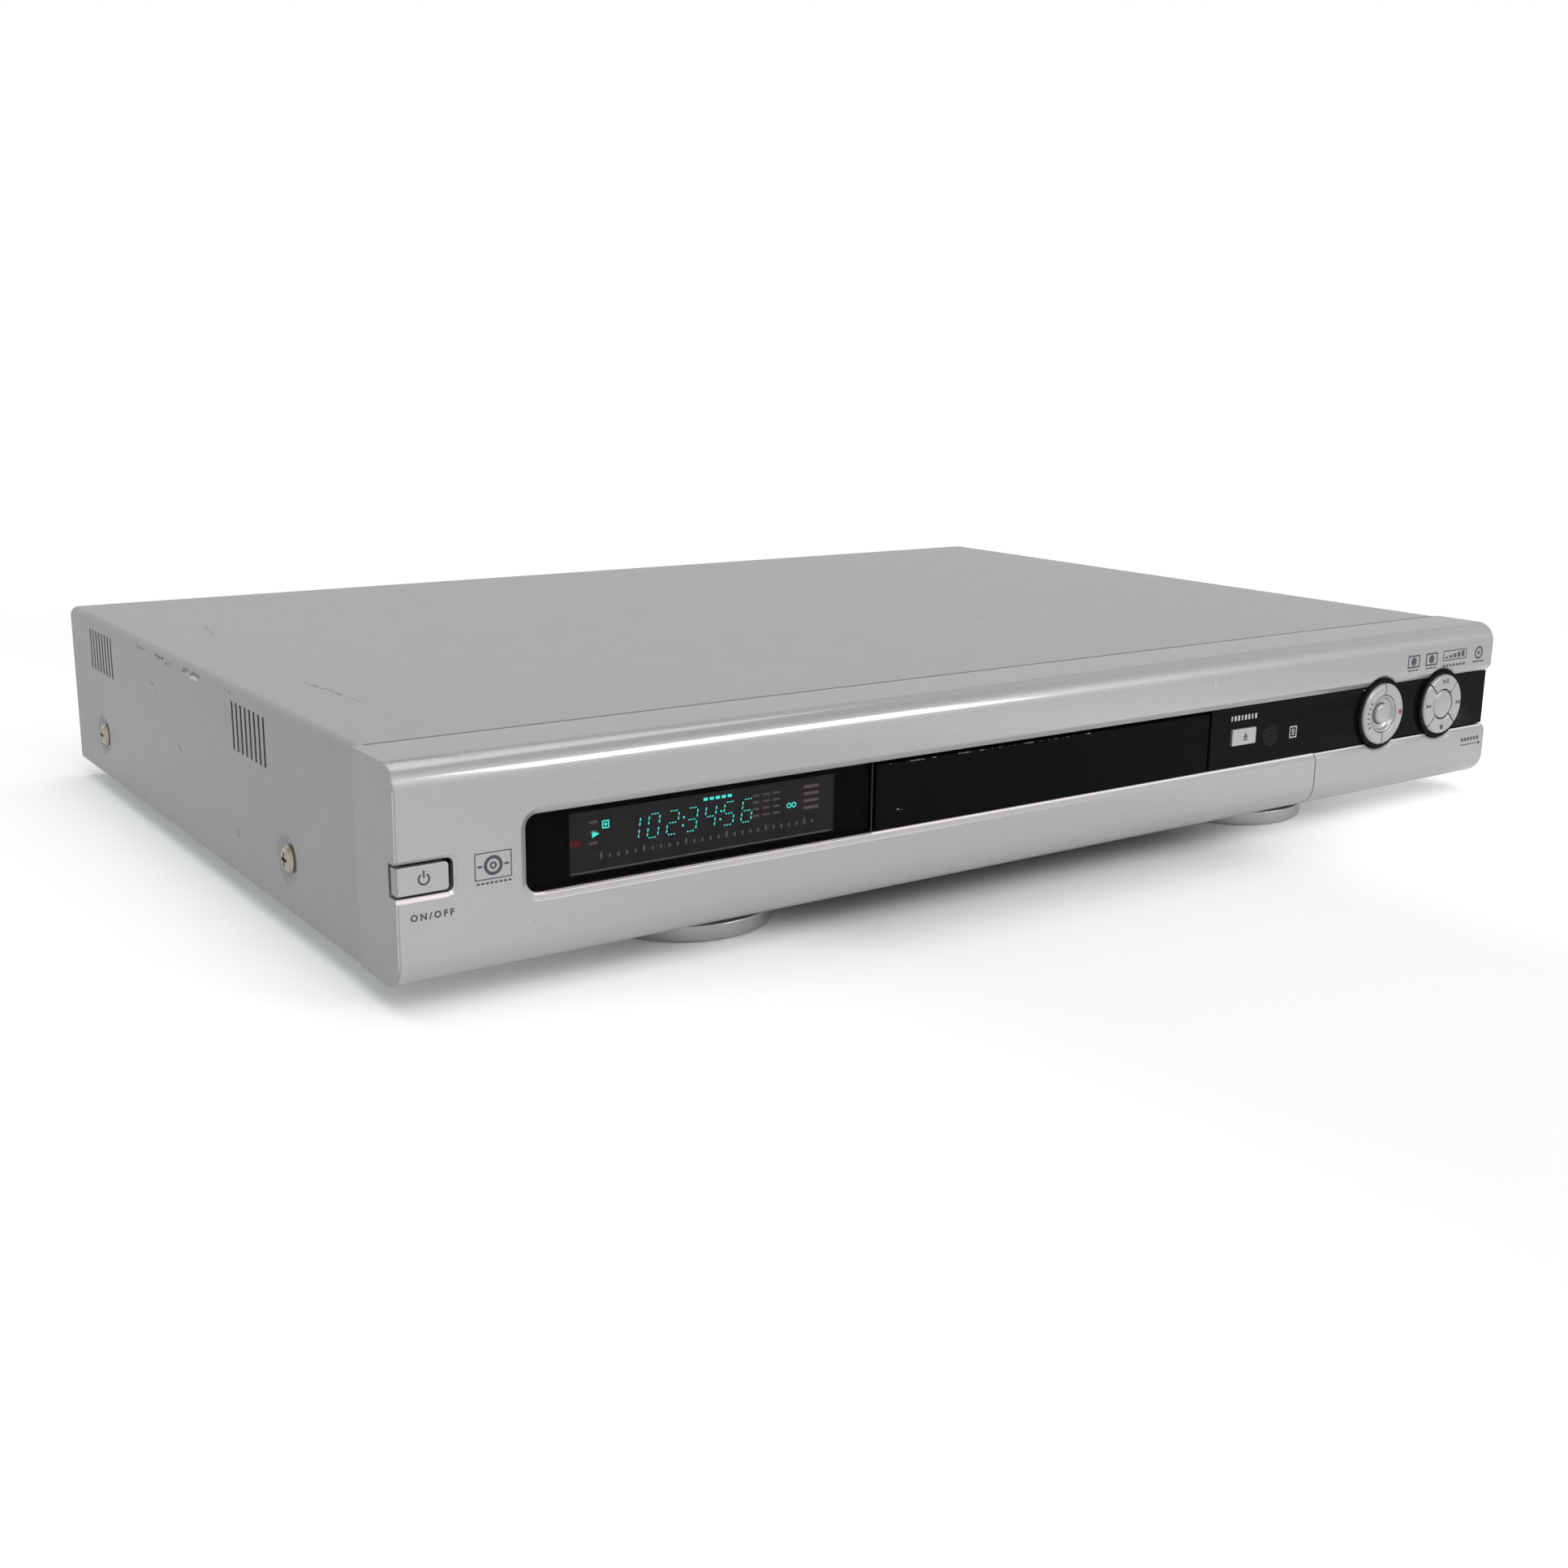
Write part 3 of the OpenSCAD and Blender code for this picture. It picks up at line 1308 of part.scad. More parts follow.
module tuner() {
    color(metal) in_place() {
        difference() {
            block([tuner_x - 12, tuner_x + 12], [rear_y - 50, rear_y - 0.2],
                  [board_z + board_t, 40]);
            for (i = [0 : 4])
                block([tuner_x - 8, tuner_x + 8], [rear_y - 44 + i * 8, rear_y - 41 + i * 8],
                      [39, 41]);
        }
        for (dz = [-8, 8]) difference() {
            union() {
                rod_y(tuner_x, 24 + dz, [rear_y - 1, case_d + socket_reach], 4.7);
                rod_y(tuner_x, 24 + dz, [rear_y - 1, case_d + 1], 5.4);
            }
            rod_y(tuner_x, 24 + dz, [case_d + 1, case_d + socket_reach + 1], 3.6);
        }
    }
}

module rear_sockets() {
    y = rear_y - 0.3;
    color(brass) in_place() {
        for (i = [0 : 5]) {
            block([48 + i * phono_pitch - 6, 48 + i * phono_pitch + 6], [y - 12, y],
                  [board_z + board_t, socket_z + phono_pitch + 6]);
            for (k = [0, 1]) rear_phono(48 + i * phono_pitch, socket_z + k * phono_pitch);
        }
        block([digital_x() - 6, digital_x() + 6], [y - 12, y],
              [board_z + board_t, socket_z + phono_pitch + 6]);
        rear_phono(digital_x(), socket_z + phono_pitch);
        block([digital_x() - 5, digital_x() + 5], [y - eps, y + 3.4],
              [socket_z - 6, socket_z + 4]);
        block([svideo_x() - 7, svideo_x() + 7], [y - 12, y], [board_z + board_t, socket_z + 19]);
        difference() {
            rod_y(svideo_x(), socket_z + 12, [y - eps, y + 3], 6);
            rod_y(svideo_x(), socket_z + 12, [y + 0.5, y + 4], 4.6);
        }
    }
}

module rear_phono(x, z) {
    y = rear_y - 0.3;
    reach = case_d + socket_reach - 1.5;
    rod_y(x, z, [y - eps, y + 1.6], phono_r + 0.6);
    difference() {
        rod_y(x, z, [y, reach], phono_r);
        rod_y(x, z, [y + 2, reach + 1], phono_r - 0.7);
    }
    difference() {
        rod_y(x, z, [y, reach - 0.4], phono_r - 1.2);
        rod_y(x, z, [y + 2, reach + 1], 1.7);
    }
}

module ac_inlet() {
    color(plastic) in_place() difference() {
        union() {
            slab([inlet_x - 12, inlet_x + 12], [rear_y - 16, rear_y + sheet_t + 1],
                 [inlet_z - 8, inlet_z + 8], 2);
            slab([inlet_x - 14, inlet_x + 14], [rear_y - 2.4, rear_y - 0.2],
                 [inlet_z - 10, inlet_z + 10], 2);
        }
        difference() {
            union() {
                for (s = [-1, 1])
                    rod_y(inlet_x + s * 4.6, inlet_z, [rear_y - 13, rear_y + 9], 5.6);
                block([inlet_x - 4.6, inlet_x + 4.6], [rear_y - 13, rear_y + 9],
                      [inlet_z - 5.6, inlet_z + 5.6]);
            }
            for (s = [-1, 1])
                rod_y(inlet_x + s * 4.6, inlet_z, [rear_y - 14, rear_y - 2], 1.2);
        }
    }
}

module fan_frame() {
    h = fan_w / 2;
    y = [rear_y - 0.4 - fan_t, rear_y - 0.4];
    color(dark) in_place() {
        difference() {
            slab([fan_x - h, fan_x + h], y, [fan_z - h, fan_z + h], 3);
            rod_y(fan_x, fan_z, [y[0] - 1, y[1] + 1], h - 1.6);
            for (sx = [-1, 1], sz = [-1, 1])
                rod_y(fan_x + sx * (h - 4), fan_z + sz * (h - 4), [y[0] - 1, y[1] + 1], 1.7);
        }
        difference() {
            union() {
                rod_y(fan_x, fan_z, [y[0], y[0] + 1.6], 9);
                for (a = [30 : 90 : 300]) translate([fan_x, 0, fan_z]) rotate([0, a, 0])
                    block([0, h - 1], [y[0], y[0] + 1.6], [-1.2, 1.2]);
            }
            rod_y(fan_x, fan_z, [y[0] - 1, y[0] + 3], 1 + run_gap);
        }
    }
}

module fan_rotor() {
    h = fan_w / 2;
    y = [rear_y - 0.4 - fan_t + 2.2, rear_y - 1.2];
    r = h - 2.2;
    color(dark) in_place() {
        rod_y(fan_x, fan_z, [y[0] - 2, y[1]], 1);
        rod_y(fan_x, fan_z, y, 8.5);
        intersection() {
            rod_y(fan_x, fan_z, y, r);
            for (i = [0 : fan_blades - 1])
                translate([fan_x, (y[0] + y[1]) / 2, fan_z]) rotate([0, i * 360 / fan_blades, 0])
                    rotate([38, 0, 0]) block([8, r + 2], [-9, 9], [-0.5, 0.5]);
        }
    }
}

chassis();
top_cover();
rear_panel();
front_bezel();
display_lens();
right_panel();
tray_surround();
power_button();
eject_button();
source_button();
record_button();
dial_dish();
select_button();
play_button();
next_button();
stop_button();
previous_button();
enter_button();
front_flap();
front_socket_panel();
front_sockets();
display_board();
display_tube();
key_boards();
foot_front_left();
foot_front_right();
foot_rear_left();
foot_rear_right();
foot_pads();
side_screws();
rear_screws();
drive_screws();
drive_frame();
tray();
tray_front();
drive_gear();
pulley_wheel();
drive_belt();
motor_pulley();
loading_motor();
traverse();
spindle_motor();
turntable();
clamp_bridge();
clamp_puck();
guide_rods();
pickup_sled();
sled_gear();
sled_motor();
sled_pinion();
main_board();
heat_sink();
psu_board();
transformer();
psu_capacitors();
tuner();
rear_sockets();
ac_inlet();
fan_frame();
fan_rotor();
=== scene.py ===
"""Looks of a full-width disc recorder and player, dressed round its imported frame."""

import json
import math

import bmesh
import bpy
from bpy.props import FloatProperty, FloatVectorProperty, IntProperty, StringProperty
from mathutils import Matrix, Vector


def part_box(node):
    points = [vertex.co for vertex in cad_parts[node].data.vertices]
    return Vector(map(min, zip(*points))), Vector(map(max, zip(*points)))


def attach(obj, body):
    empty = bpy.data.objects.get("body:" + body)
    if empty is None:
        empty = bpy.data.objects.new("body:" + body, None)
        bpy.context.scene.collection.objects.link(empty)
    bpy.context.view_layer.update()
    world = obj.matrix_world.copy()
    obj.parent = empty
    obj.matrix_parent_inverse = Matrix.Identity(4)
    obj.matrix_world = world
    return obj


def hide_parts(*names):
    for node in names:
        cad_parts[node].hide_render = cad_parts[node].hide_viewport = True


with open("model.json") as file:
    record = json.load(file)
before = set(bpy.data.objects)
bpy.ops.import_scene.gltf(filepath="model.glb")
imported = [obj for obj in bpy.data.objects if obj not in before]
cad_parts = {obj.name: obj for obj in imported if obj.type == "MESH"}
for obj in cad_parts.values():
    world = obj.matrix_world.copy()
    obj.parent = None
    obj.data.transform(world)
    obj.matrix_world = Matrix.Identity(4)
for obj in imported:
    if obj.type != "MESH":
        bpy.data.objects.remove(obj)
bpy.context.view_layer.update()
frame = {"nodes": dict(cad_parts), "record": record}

bl_info = {
    "name": "Disc player dresser",
    "version": (1, 0, 0),
    "blender": (4, 5, 0),
    "location": "View3D > Sidebar > Disc player",
    "description": "Dresses the packed frame of a disc player with its finishes and display",
    "category": "Object",
}

# ---------- places taken from the frame ----------
MM = 0.001
NODES = frame["nodes"]
SUBPARTS = {row["node"]: row["material_slot"] for row in frame["record"]["subparts"]}
BODY_OF = {node: body for body, nodes in frame["record"]["behaviour"]["bodies"].items()
           for node in nodes}
BEZEL_LO, BEZEL_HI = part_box("front_bezel")
LENS_LO, LENS_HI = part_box("display_lens")
FACE = BEZEL_LO.y
SEAT = BEZEL_LO.z
RIGHT = BEZEL_HI.x

# In millimetres: half the width, the cover's side and top, and the print's thickness and sink
HALF = RIGHT / MM
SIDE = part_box("top_cover")[1].x / MM
TOP = 56.5
PRINT_HEIGHT = 0.03
PRINT_SINK = 0.01


def spot(x, depth, height):
    """A point from millimetres: across from the middle, behind the face, above the underside."""
    return Vector((x * MM, FACE + depth * MM, SEAT + height * MM))


def depth_of(node, side=0):
    """Millimetres from the face back to a node's front (0) or back (1)."""
    return (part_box(node)[side].y - FACE) / MM


def middle_of(node):
    """A node's middle in the front view, in millimetres across and up."""
    low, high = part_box(node)
    return (low.x + high.x) / 2 / MM, (low.z + high.z - 2 * SEAT) / 2 / MM


def tone(red, green, blue):
    """A linear colour from its 0 to 255 screen values."""

    def linear(value):
        value /= 255
        return value / 12.92 if value <= 0.04045 else ((value + 0.055) / 1.055) ** 2.4

    return (linear(red), linear(green), linear(blue), 1)


def darker(colour, share):
    """The colour times a share, which is above 1 for a lighter one."""
    return (colour[0] * share, colour[1] * share, colour[2] * share, 1)


# ---------- settings ----------
def amount(name, description, default, **kind):
    return FloatProperty(name=name, description=description, default=default, **kind)


def millimetres(name, description, default):
    return amount(name, description, default * MM, unit="LENGTH")


def degrees(name, description, default):
    return amount(name, description, math.radians(default), subtype="ANGLE")


def swatch(name, description, default):
    return FloatVectorProperty(
        name=name, description=description, default=default, size=4, subtype="COLOR")


def position(name, description, default):
    return FloatVectorProperty(
        name=name, description=description, default=default, unit="LENGTH", subtype="TRANSLATION")


class MouldingSettings(bpy.types.PropertyGroup):
    """Edges of the mouldings and of the sheet metal."""

    edge: millimetres("Moulding edge", "Rounding of the moulded edges", 0.25)
    fold: millimetres("Sheet edge", "Rounding of the cover's cut edges", 0.2)
    key_edge: millimetres("Button edge", "Rounding of the button caps", 0.3)
    crisp: degrees("Crisp angle", "Edges sharper than this are rounded", 32)
    sheet_crisp: degrees("Sheet crisp angle", "Cover edges sharper than this are rounded", 24)
    steps: IntProperty(name="Steps", description="Segments of each rounded edge", default=3)


class FinishSettings(bpy.types.PropertyGroup):
    """Colours that a user would change."""

    silver: swatch("Silver", "Metallic paint of the front moulding", tone(160, 159, 161))
    cover: swatch("Cover", "Metallic paint of the cover", tone(151, 150, 151))
    black: swatch("Black", "Gloss plastic of the window band", tone(19, 19, 21))
    ink: swatch("Ink", "Dark print on the silver", tone(66, 67, 72))
    glow: swatch("Display", "Light of the display", (0.075, 0.79, 0.68, 1))
    glow_strength: amount("Display strength", "Strength of the display's light", 3.4)


class DisplaySettings(bpy.types.PropertyGroup):
    """Layout of the display."""

    digits: StringProperty(
        name="Digits", description="What the seven digits show", default="1023456")
    left: millimetres("First digit", "Left edge of the first digit from the middle", -149.5)
    base: millimetres("Digit base", "Foot of the digits above the underside", 27.3)
    pitch: millimetres("Digit pitch", "Distance between digits", 5.85)
    width: millimetres("Digit width", "Width of a digit", 3.2)
    height: millimetres("Digit height", "Height of a digit", 6.3)
    slant: degrees("Slant", "Lean of the digits", 8)


class StageSettings(bpy.types.PropertyGroup):
    """Camera, lamps and floor."""

    eye: position("Eye", "Place of the camera", (-0.36881, -0.53487, 0.15878))
    target: position("Target", "Point that the camera looks at", (-0.02809, -0.05025, 0.01718))
    roll: degrees("Roll", "Turn of the camera round its axis", 0.71396)
    lens: amount("Lens", "Focal length in millimetres", 40.573)
    shift_x: amount("Shift across", "Sideways shift of the view", -0.003593)
    shift_y: amount("Shift up", "Upward shift of the view", -0.007835)
    floor: millimetres("Floor", "Side of the square floor", 12000)
    ambient: amount("Ambient", "Light from all round", 0.42)
    ceiling: amount("Ceiling", "Brightness of the studio's ceiling in reflections", 0.42)
    overhead: amount("Overhead lamp", "Power of the overhead lamp in watts", 8.5)
    front: amount("Front lamp", "Power of the front lamp in watts", 11.5)
    fill: amount("Fill lamp", "Power of the fill lamp in watts", 9.0)
    # Painted light: the floor glows near the object's ends, lifting its shadows there
    painted_light: amount("Floor bounce", "Light that the white floor adds to its own shadows", 0.4)


SETTINGS = {
    "player_moulding": MouldingSettings,
    "player_finish": FinishSettings,
    "player_display": DisplaySettings,
    "player_stage": StageSettings,
}


# ---------- nodes ----------
class Wire:
    """One output of a node; arithmetic on it adds Math nodes."""

    def __init__(self, nodes, socket):
        self.nodes = nodes
        self.socket = socket

    def __add__(self, other):
        return self.nodes.maths("ADD", self, other)

    __radd__ = __add__

    def __mul__(self, other):
        return self.nodes.maths("MULTIPLY", self, other)

    __rmul__ = __mul__

    def __sub__(self, other):
        return self.nodes.maths("SUBTRACT", self, other)

    def __rsub__(self, other):
        return self.nodes.maths("SUBTRACT", other, self)

    def __truediv__(self, other):
        return self.nodes.maths("DIVIDE", self, other)

    def __abs__(self):
        return self.nodes.maths("ABSOLUTE", self)

    def __gt__(self, other):
        return self.nodes.maths("GREATER_THAN", self, other)

    def __lt__(self, other):
        return self.nodes.maths("LESS_THAN", self, other)


class NodeTree:
    """Fills the node tree of a material or of the world."""

    def __init__(self, tree):
        self.tree = tree
        tree.nodes.clear()
        self.point = self.node("TexCoord", out="Object")

    def node(self, kind, settings=None, values=None, out=0):
        """Adds a node, sets it, fills its sockets and gives one of its outputs."""
        made = self.tree.nodes.new("ShaderNode" + kind)
        for name, setting in (settings or {}).items():
            setattr(made, name, setting)
        for name, value in (values or {}).items():
            if isinstance(value, Wire):
                self.tree.links.new(value.socket, made.inputs[name])
            else:
                made.inputs[name].default_value = value
        return Wire(self, made.outputs[out]) if made.outputs else made

    def maths(self, operation, *values):
        return self.node("Math", {"operation": operation}, dict(enumerate(values)))

    def vector(self, operation, *values, out=0):
        return self.node("VectorMath", {"operation": operation},
                         dict(enumerate(values)), out)

    def scaled(self, vector, scale):
        return self.node("VectorMath", {"operation": "SCALE"}, {0: vector, "Scale": scale})

    def across(self, value, low, high):
        """0 at low to 1 at high, eased."""
        return self.node("MapRange", {"interpolation_type": "SMOOTHSTEP"},
                         {"Value": value, "From Min": low, "From Max": high})

    def ramp(self, value, low, high, start=0.0, end=1.0):
        """start at low to end at high, evenly."""
        return self.node("MapRange", None, {
            "Value": value, "From Min": low, "From Max": high, "To Min": start, "To Max": end})

    def tint(self, mask, low, high):
        return self.node("Mix", {"data_type": "RGBA"}, {0: mask, 6: low, 7: high}, 2)

    def shades(self, mask, colour, low, high):
        """Two shades of a colour, as shares of it, mixed by a mask."""
        return self.tint(mask, darker(colour, low), darker(colour, high))

    def axis(self, name):
        return self.node("SeparateXYZ", None, {"Vector": self.point}, name)

    def ray(self, kind):
        return self.node("LightPath", out="Is %s Ray" % kind)

    def seen(self):
        """1 where the camera looks, straight, in a mirror or through glass."""
        direct = self.maths("MAXIMUM", self.ray("Camera"), self.ray("Glossy"))
        return self.maths("MAXIMUM", direct, self.ray("Transmission"))


class Finish(NodeTree):
    """Builds one material."""

    def __init__(self, name):
        self.material = bpy.data.materials.new(name)
        self.material.use_nodes = True
        super().__init__(self.material.node_tree)
        self.ragged = None

    def noise(self, size, detail=2.0, roughness=0.5, stretch=None):
        """Cloudy pattern whose lumps are about size metres across."""
        point = self.point
        if stretch:
            point = self.node("Mapping", None, {"Vector": point, "Scale": stretch})
        return self.node("TexNoise", None, {
            "Vector": point, "Scale": 1 / size, "Detail": detail, "Roughness": roughness})

    def flakes(self, size):
        """A random grey for each cell of about size metres."""
        cell = self.node("TexVoronoi", None,
                         {"Vector": self.point, "Scale": 1 / size}, "Color")
        return self.node("SeparateColor", None, {"Color": cell}, "Red")

    def stripes(self, pitch):
        """A wave across the object, one crest in each pitch of so many metres."""
        return self.maths("SINE", self.axis("X") * (math.tau / pitch))

    def wander(self, size, reach):
        """The point, moved about by up to half the reach."""
        shift = self.node("TexNoise", None, {
            "Vector": self.point, "Scale": 1 / size, "Detail": 3.0}, "Color")
        shift = self.vector("SUBTRACT", shift, (0.5, 0.5, 0.5))
        return self.vector("ADD", self.point, self.scaled(shift, reach))

    def stroke(self, start, end, width, feather=0.6, ragged=False):
        """A mask that is 1 on the line from start to end and 0 a width away."""
        way = end - start
        if ragged and not self.ragged:
            self.ragged = self.wander(3 * MM, 3.2 * MM)
        reach = self.vector("SUBTRACT", self.ragged if ragged else self.point, tuple(start))
        along = self.vector("DOT_PRODUCT", reach, tuple(way), out="Value") / way.length_squared
        along = self.maths("MINIMUM", self.maths("MAXIMUM", along, 0.0), 1.0)
        nearest = self.scaled(tuple(way), along)
        away = self.vector("LENGTH", self.vector("SUBTRACT", reach, nearest), out="Value")
        return 1 - self.across(away, width * (1 - feather), width)

    def bump(self, height, strength, distance=0.05 * MM):
        return self.node("Bump", None, {
            "Strength": strength, "Distance": distance, "Height": height})

    def shade(self, values):
        """Closes the material with a Principled surface."""
        surface = self.node("BsdfPrincipled", None, values)
        self.node("OutputMaterial", None, {"Surface": surface})
        return self.material


# ---------- wear of the paint, and painted shade and painted highlights ---
BROWN = tone(112, 94, 78)
DARK = tone(48, 46, 48)
GREY = tone(96, 96, 98)
BRIGHT = tone(202, 203, 205)
RUBBED_BROWN = tone(134, 120, 108)
RUBBED_GREY = tone(112, 113, 116)
# Painted shade along the joint between the moulding and the cover
SEAM_PAINTED_SHADE = tone(78, 76, 76)

# Rubs on the cover's left side: depth and height at both ends, width, colour, strength
SIDE_RUBS = (
    ((214, 54), (205, 54.1), 0.5, GREY, 0.8),
    ((194, 54.2), (184, 54.4), 0.7, DARK, 0.8),
    ((181.5, 53.2), (177, 53.3), 0.6, DARK, 0.85),
    ((160, 53.2), (149, 53), 0.6, BRIGHT, 0.9),
    ((163, 54.3), (147, 54.3), 0.8, BROWN, 0.95),
    ((124, 54.4), (116, 54.4), 0.4, GREY, 0.7),
    ((97.5, 55.9), (93, 55.9), 0.5, DARK, 0.95),
    ((199.5, 44.5), (195.8, 42.7), 0.7, DARK, 1.0),
    ((118.8, 13.8), (118, 11.5), 0.6, GREY, 0.85),
    ((174, 28.4), (171, 27.2), 0.6, GREY, 0.6),
)

# Scratches on its top: the same, with the place across and the depth at both ends
TOP_SCRATCHES = (
    ((-195.3, 110), (-192.6, 88), 0.45, DARK, 0.8),
    ((-193.4, 97), (-193.2, 95), 0.7, DARK, 0.9),
    ((-192.2, 83), (-191.2, 76), 0.4, GREY, 0.9),
    ((-187.5, 229), (-189.5, 214), 0.6, GREY, 0.75),
    ((-189.5, 214), (-193.6, 207), 0.5, GREY, 0.6),
    ((-132, 152), (-104, 146), 0.3, GREY, 0.4),
    ((40, 96), (62, 104), 0.25, BRIGHT, 0.5),
    ((-60, 60), (-42, 57), 0.25, GREY, 0.3),
)

# Rubs on the front moulding: the same, with all three places at both ends
BEZEL_RUBS = (
    ((-56.6, 1.6, 5.9), (-54.2, 1.2, 6.4), 0.45, RUBBED_GREY, 0.8),
    ((-55.8, 2.4, 5.0), (-53.2, 1.8, 5.3), 0.3, RUBBED_GREY, 0.7),
    ((-9, 2, 53.6), (-7.6, 2, 53.9), 0.4, RUBBED_BROWN, 0.8),
    ((-179, 0, 12.1), (-178.2, 0, 12.4), 0.2, RUBBED_GREY, 0.6),
    ((66, 0, 49), (66.6, 0, 46), 0.35, tone(196, 197, 199), 0.6),
    ((-213, 5, 56.3), (-197, 4, 56.2), 0.9, RUBBED_BROWN, 0.45),
    ((-197, 3.6, 56), (-190, 3.4, 55.9), 0.5, RUBBED_BROWN, 0.6),
    ((-215, 24, 54.5), (-213.5, 24, 56.5), 0.5, RUBBED_BROWN, 0.5),
)

# Painted shade along the joint between the moulding and the cover, and painted highlights
# along the lit edges of the moulding
SEAM = ((4 - HALF, 24.65, TOP), (HALF - 4, 24.65, TOP))
BEZEL_SHADE_AND_HIGHLIGHT_LINES = (
    (*SEAM, 0.9, SEAM_PAINTED_SHADE, 0.75),
    ((-HALF, 0.1, 3), (-HALF, 0.1, 50), 0.24, tone(214, 216, 218), 0.75),
    ((-214.6, 0, 23.2), (-202, 0, 23.2), 0.95, tone(236, 222, 222), 0.9),
    ((-200.2, 0, 24.4), (-200.2, 0, 31), 0.8, tone(216, 216, 218), 0.65),
    ((-198, 1.2, 18.7), (214, 1.2, 18.7), 0.55, tone(236, 226, 228), 0.85),
)

# Chipped edges of the black band: both ends
DOOR_CHIPS = (((-66, 1.4, 38.3), (12, 1.4, 38.3)), ((-63, 1.4, 24.6), (-61.5, 1.4, 24.4)))
PANEL_CHIPS = (((140, 1.5, 38.5), (154, 1.5, 38.5)),)


# ---------- finishes ----------
def face_mask(finish):
    """1 on the flat face of the front moulding, 0 on its rolled edges and its ends, which get
    painted shade.
    """
    flat = 1 - finish.across(finish.axis("Y"), FACE + 2.6 * MM, FACE + 5.2 * MM)
    ends = finish.across(abs(finish.axis("X")), RIGHT - 0.7 * MM, RIGHT - 0.35 * MM)
    return flat * (1 - ends)


def vent_shade_mask(finish):
    """1 on the inner face of the cover's side behind its vent slots and on the slots' cut walls,
    which are painted black as shade.
    """
    low, high = spot(0, 80, 36.5), spot(0, 285, 53)
    shaded_inside = 1 - finish.across(abs(finish.axis("X")), (SIDE - 0.35) * MM, (SIDE - 0.2) * MM)
    up, back = finish.axis("Z"), finish.axis("Y")
    return shaded_inside * (up > low.z) * (up < high.z) * (back > low.y) * (back < high.y)


def metallic_paint(name, colour, metallic, roughness, coat=0.0, flake_size=0.3, marks=(),
                   lines=(), vent_shade=False, level=0.5):
    """Silver paint with fine flakes, a faint orange peel, wear marks, and lines and patches of
    painted shade and painted highlight.
    """
    finish = Finish(name)
    flake = finish.flakes(flake_size * MM)
    peel = finish.noise(1.6 * MM)
    mask = flake * 0.6 + finish.noise(60 * MM, 3, 0.6) * 0.4
    paint = finish.shades(mask, colour, 0.92, 1.08)
    if coat:
        face = face_mask(finish)
        # Painted shade: the rolled edges and ends of the moulding get a darker copy of the paint,
        # as they turn from the light
        rolled = finish.shades(mask, colour, 0.78, 0.9)
        paint = finish.tint(face, rolled, paint)
        coat = coat * face * (1 - 0.55 * finish.across(finish.axis("X"), -20 * MM, 170 * MM))
    if marks:
        patchy = finish.across(finish.noise(1.1 * MM, 2, 0.6), 0.14, 0.36)
    for start, end, width, stain, strength in marks:
        mark = finish.stroke(spot(*start), spot(*end), width * MM, ragged=True)
        paint = finish.tint(mark * patchy * strength, paint, stain)
    # Clean lines of painted shade and painted highlight: shade along the joint, highlights on the
    # lit edges
    for start, end, width, stain, strength in lines:
        line = finish.stroke(spot(*start), spot(*end), width * MM)
        paint = finish.tint(line * strength, paint, stain)
    # Painted shade: the slot walls and the inner face behind the vent slots are painted near-black
    # and not metallic
    if vent_shade:
        shaded_inside = vent_shade_mask(finish)
        paint = finish.tint(shaded_inside, paint, tone(12, 12, 13))
        metallic = metallic * (1 - shaded_inside)
    return finish.shade({
        "Base Color": paint,
        "Metallic": metallic,
        "Roughness": roughness - 0.05 + 0.08 * finish.noise(9 * MM) + 0.02 * flake,
        "Normal": finish.bump(peel * 0.7 + flake * 0.3, 0.05),
        "Specular IOR Level": level,
        "Coat Weight": coat,
        "Coat Roughness": 0.09,
        "Coat IOR": 2.1,
    })


def cover_paint(name, colour):
    """Paint of the cover with its rubs, its scratches, painted shade along the joint at its front,
    and black painted shade behind its vent slots.
    """
    marks = [((-SIDE, *start), (-SIDE, *end), *rest) for start, end, *rest in SIDE_RUBS]
    marks += [((*start, TOP), (*end, TOP), *rest) for start, end, *rest in TOP_SCRATCHES]
    return metallic_paint(name, colour, 0.4, 0.43, marks=marks,
                          lines=[(*SEAM, 1.1, SEAM_PAINTED_SHADE, 0.75)], vent_shade=True, level=0.3)


def gloss_plastic(name, colour, roughness, level, chips):
    """Polished dark plastic with faint flow marks, dust and chipped edges."""
    finish = Finish(name)
    flow = finish.noise(30 * MM, 3, 0.55)
    dust = finish.across(finish.flakes(0.5 * MM), 0.985, 0.999)
    rub = finish.noise(6 * MM, 4, 0.65, (1, 1, 4))
    paint = finish.shades(flow * 0.7 + dust * 0.5, colour, 0.8, 1.35)
    for start, end in chips:
        worn = finish.across(finish.noise(2.2 * MM, 4, 0.7), 0.5, 0.6)
        edge = finish.stroke(spot(*start), spot(*end), 0.32 * MM)
        paint = finish.tint(edge * worn, paint, tone(140, 137, 135))
    return finish.shade({
        "Base Color": paint,
        "Roughness": roughness + 0.1 * rub + 0.2 * dust,
        "Specular IOR Level": level,
        "Normal": finish.bump(finish.noise(7 * MM, 1), 0.04),
    })


def grained_plastic(name, colour, roughness, grain, level=0.35):
    """Spark-eroded plastic: fine grain, mottled shade."""
    finish = Finish(name)
    pits = finish.noise(grain * MM, 3, 0.6)
    mask = finish.noise(18 * MM, 3, 0.6) * 0.6 + pits * 0.4
    return finish.shade({
        "Base Color": finish.shades(mask, colour, 0.82, 1.16),
        "Roughness": roughness - 0.06 + 0.12 * pits,
        "Specular IOR Level": level,
        "Normal": finish.bump(pits, 0.25, 0.06 * MM),
    })


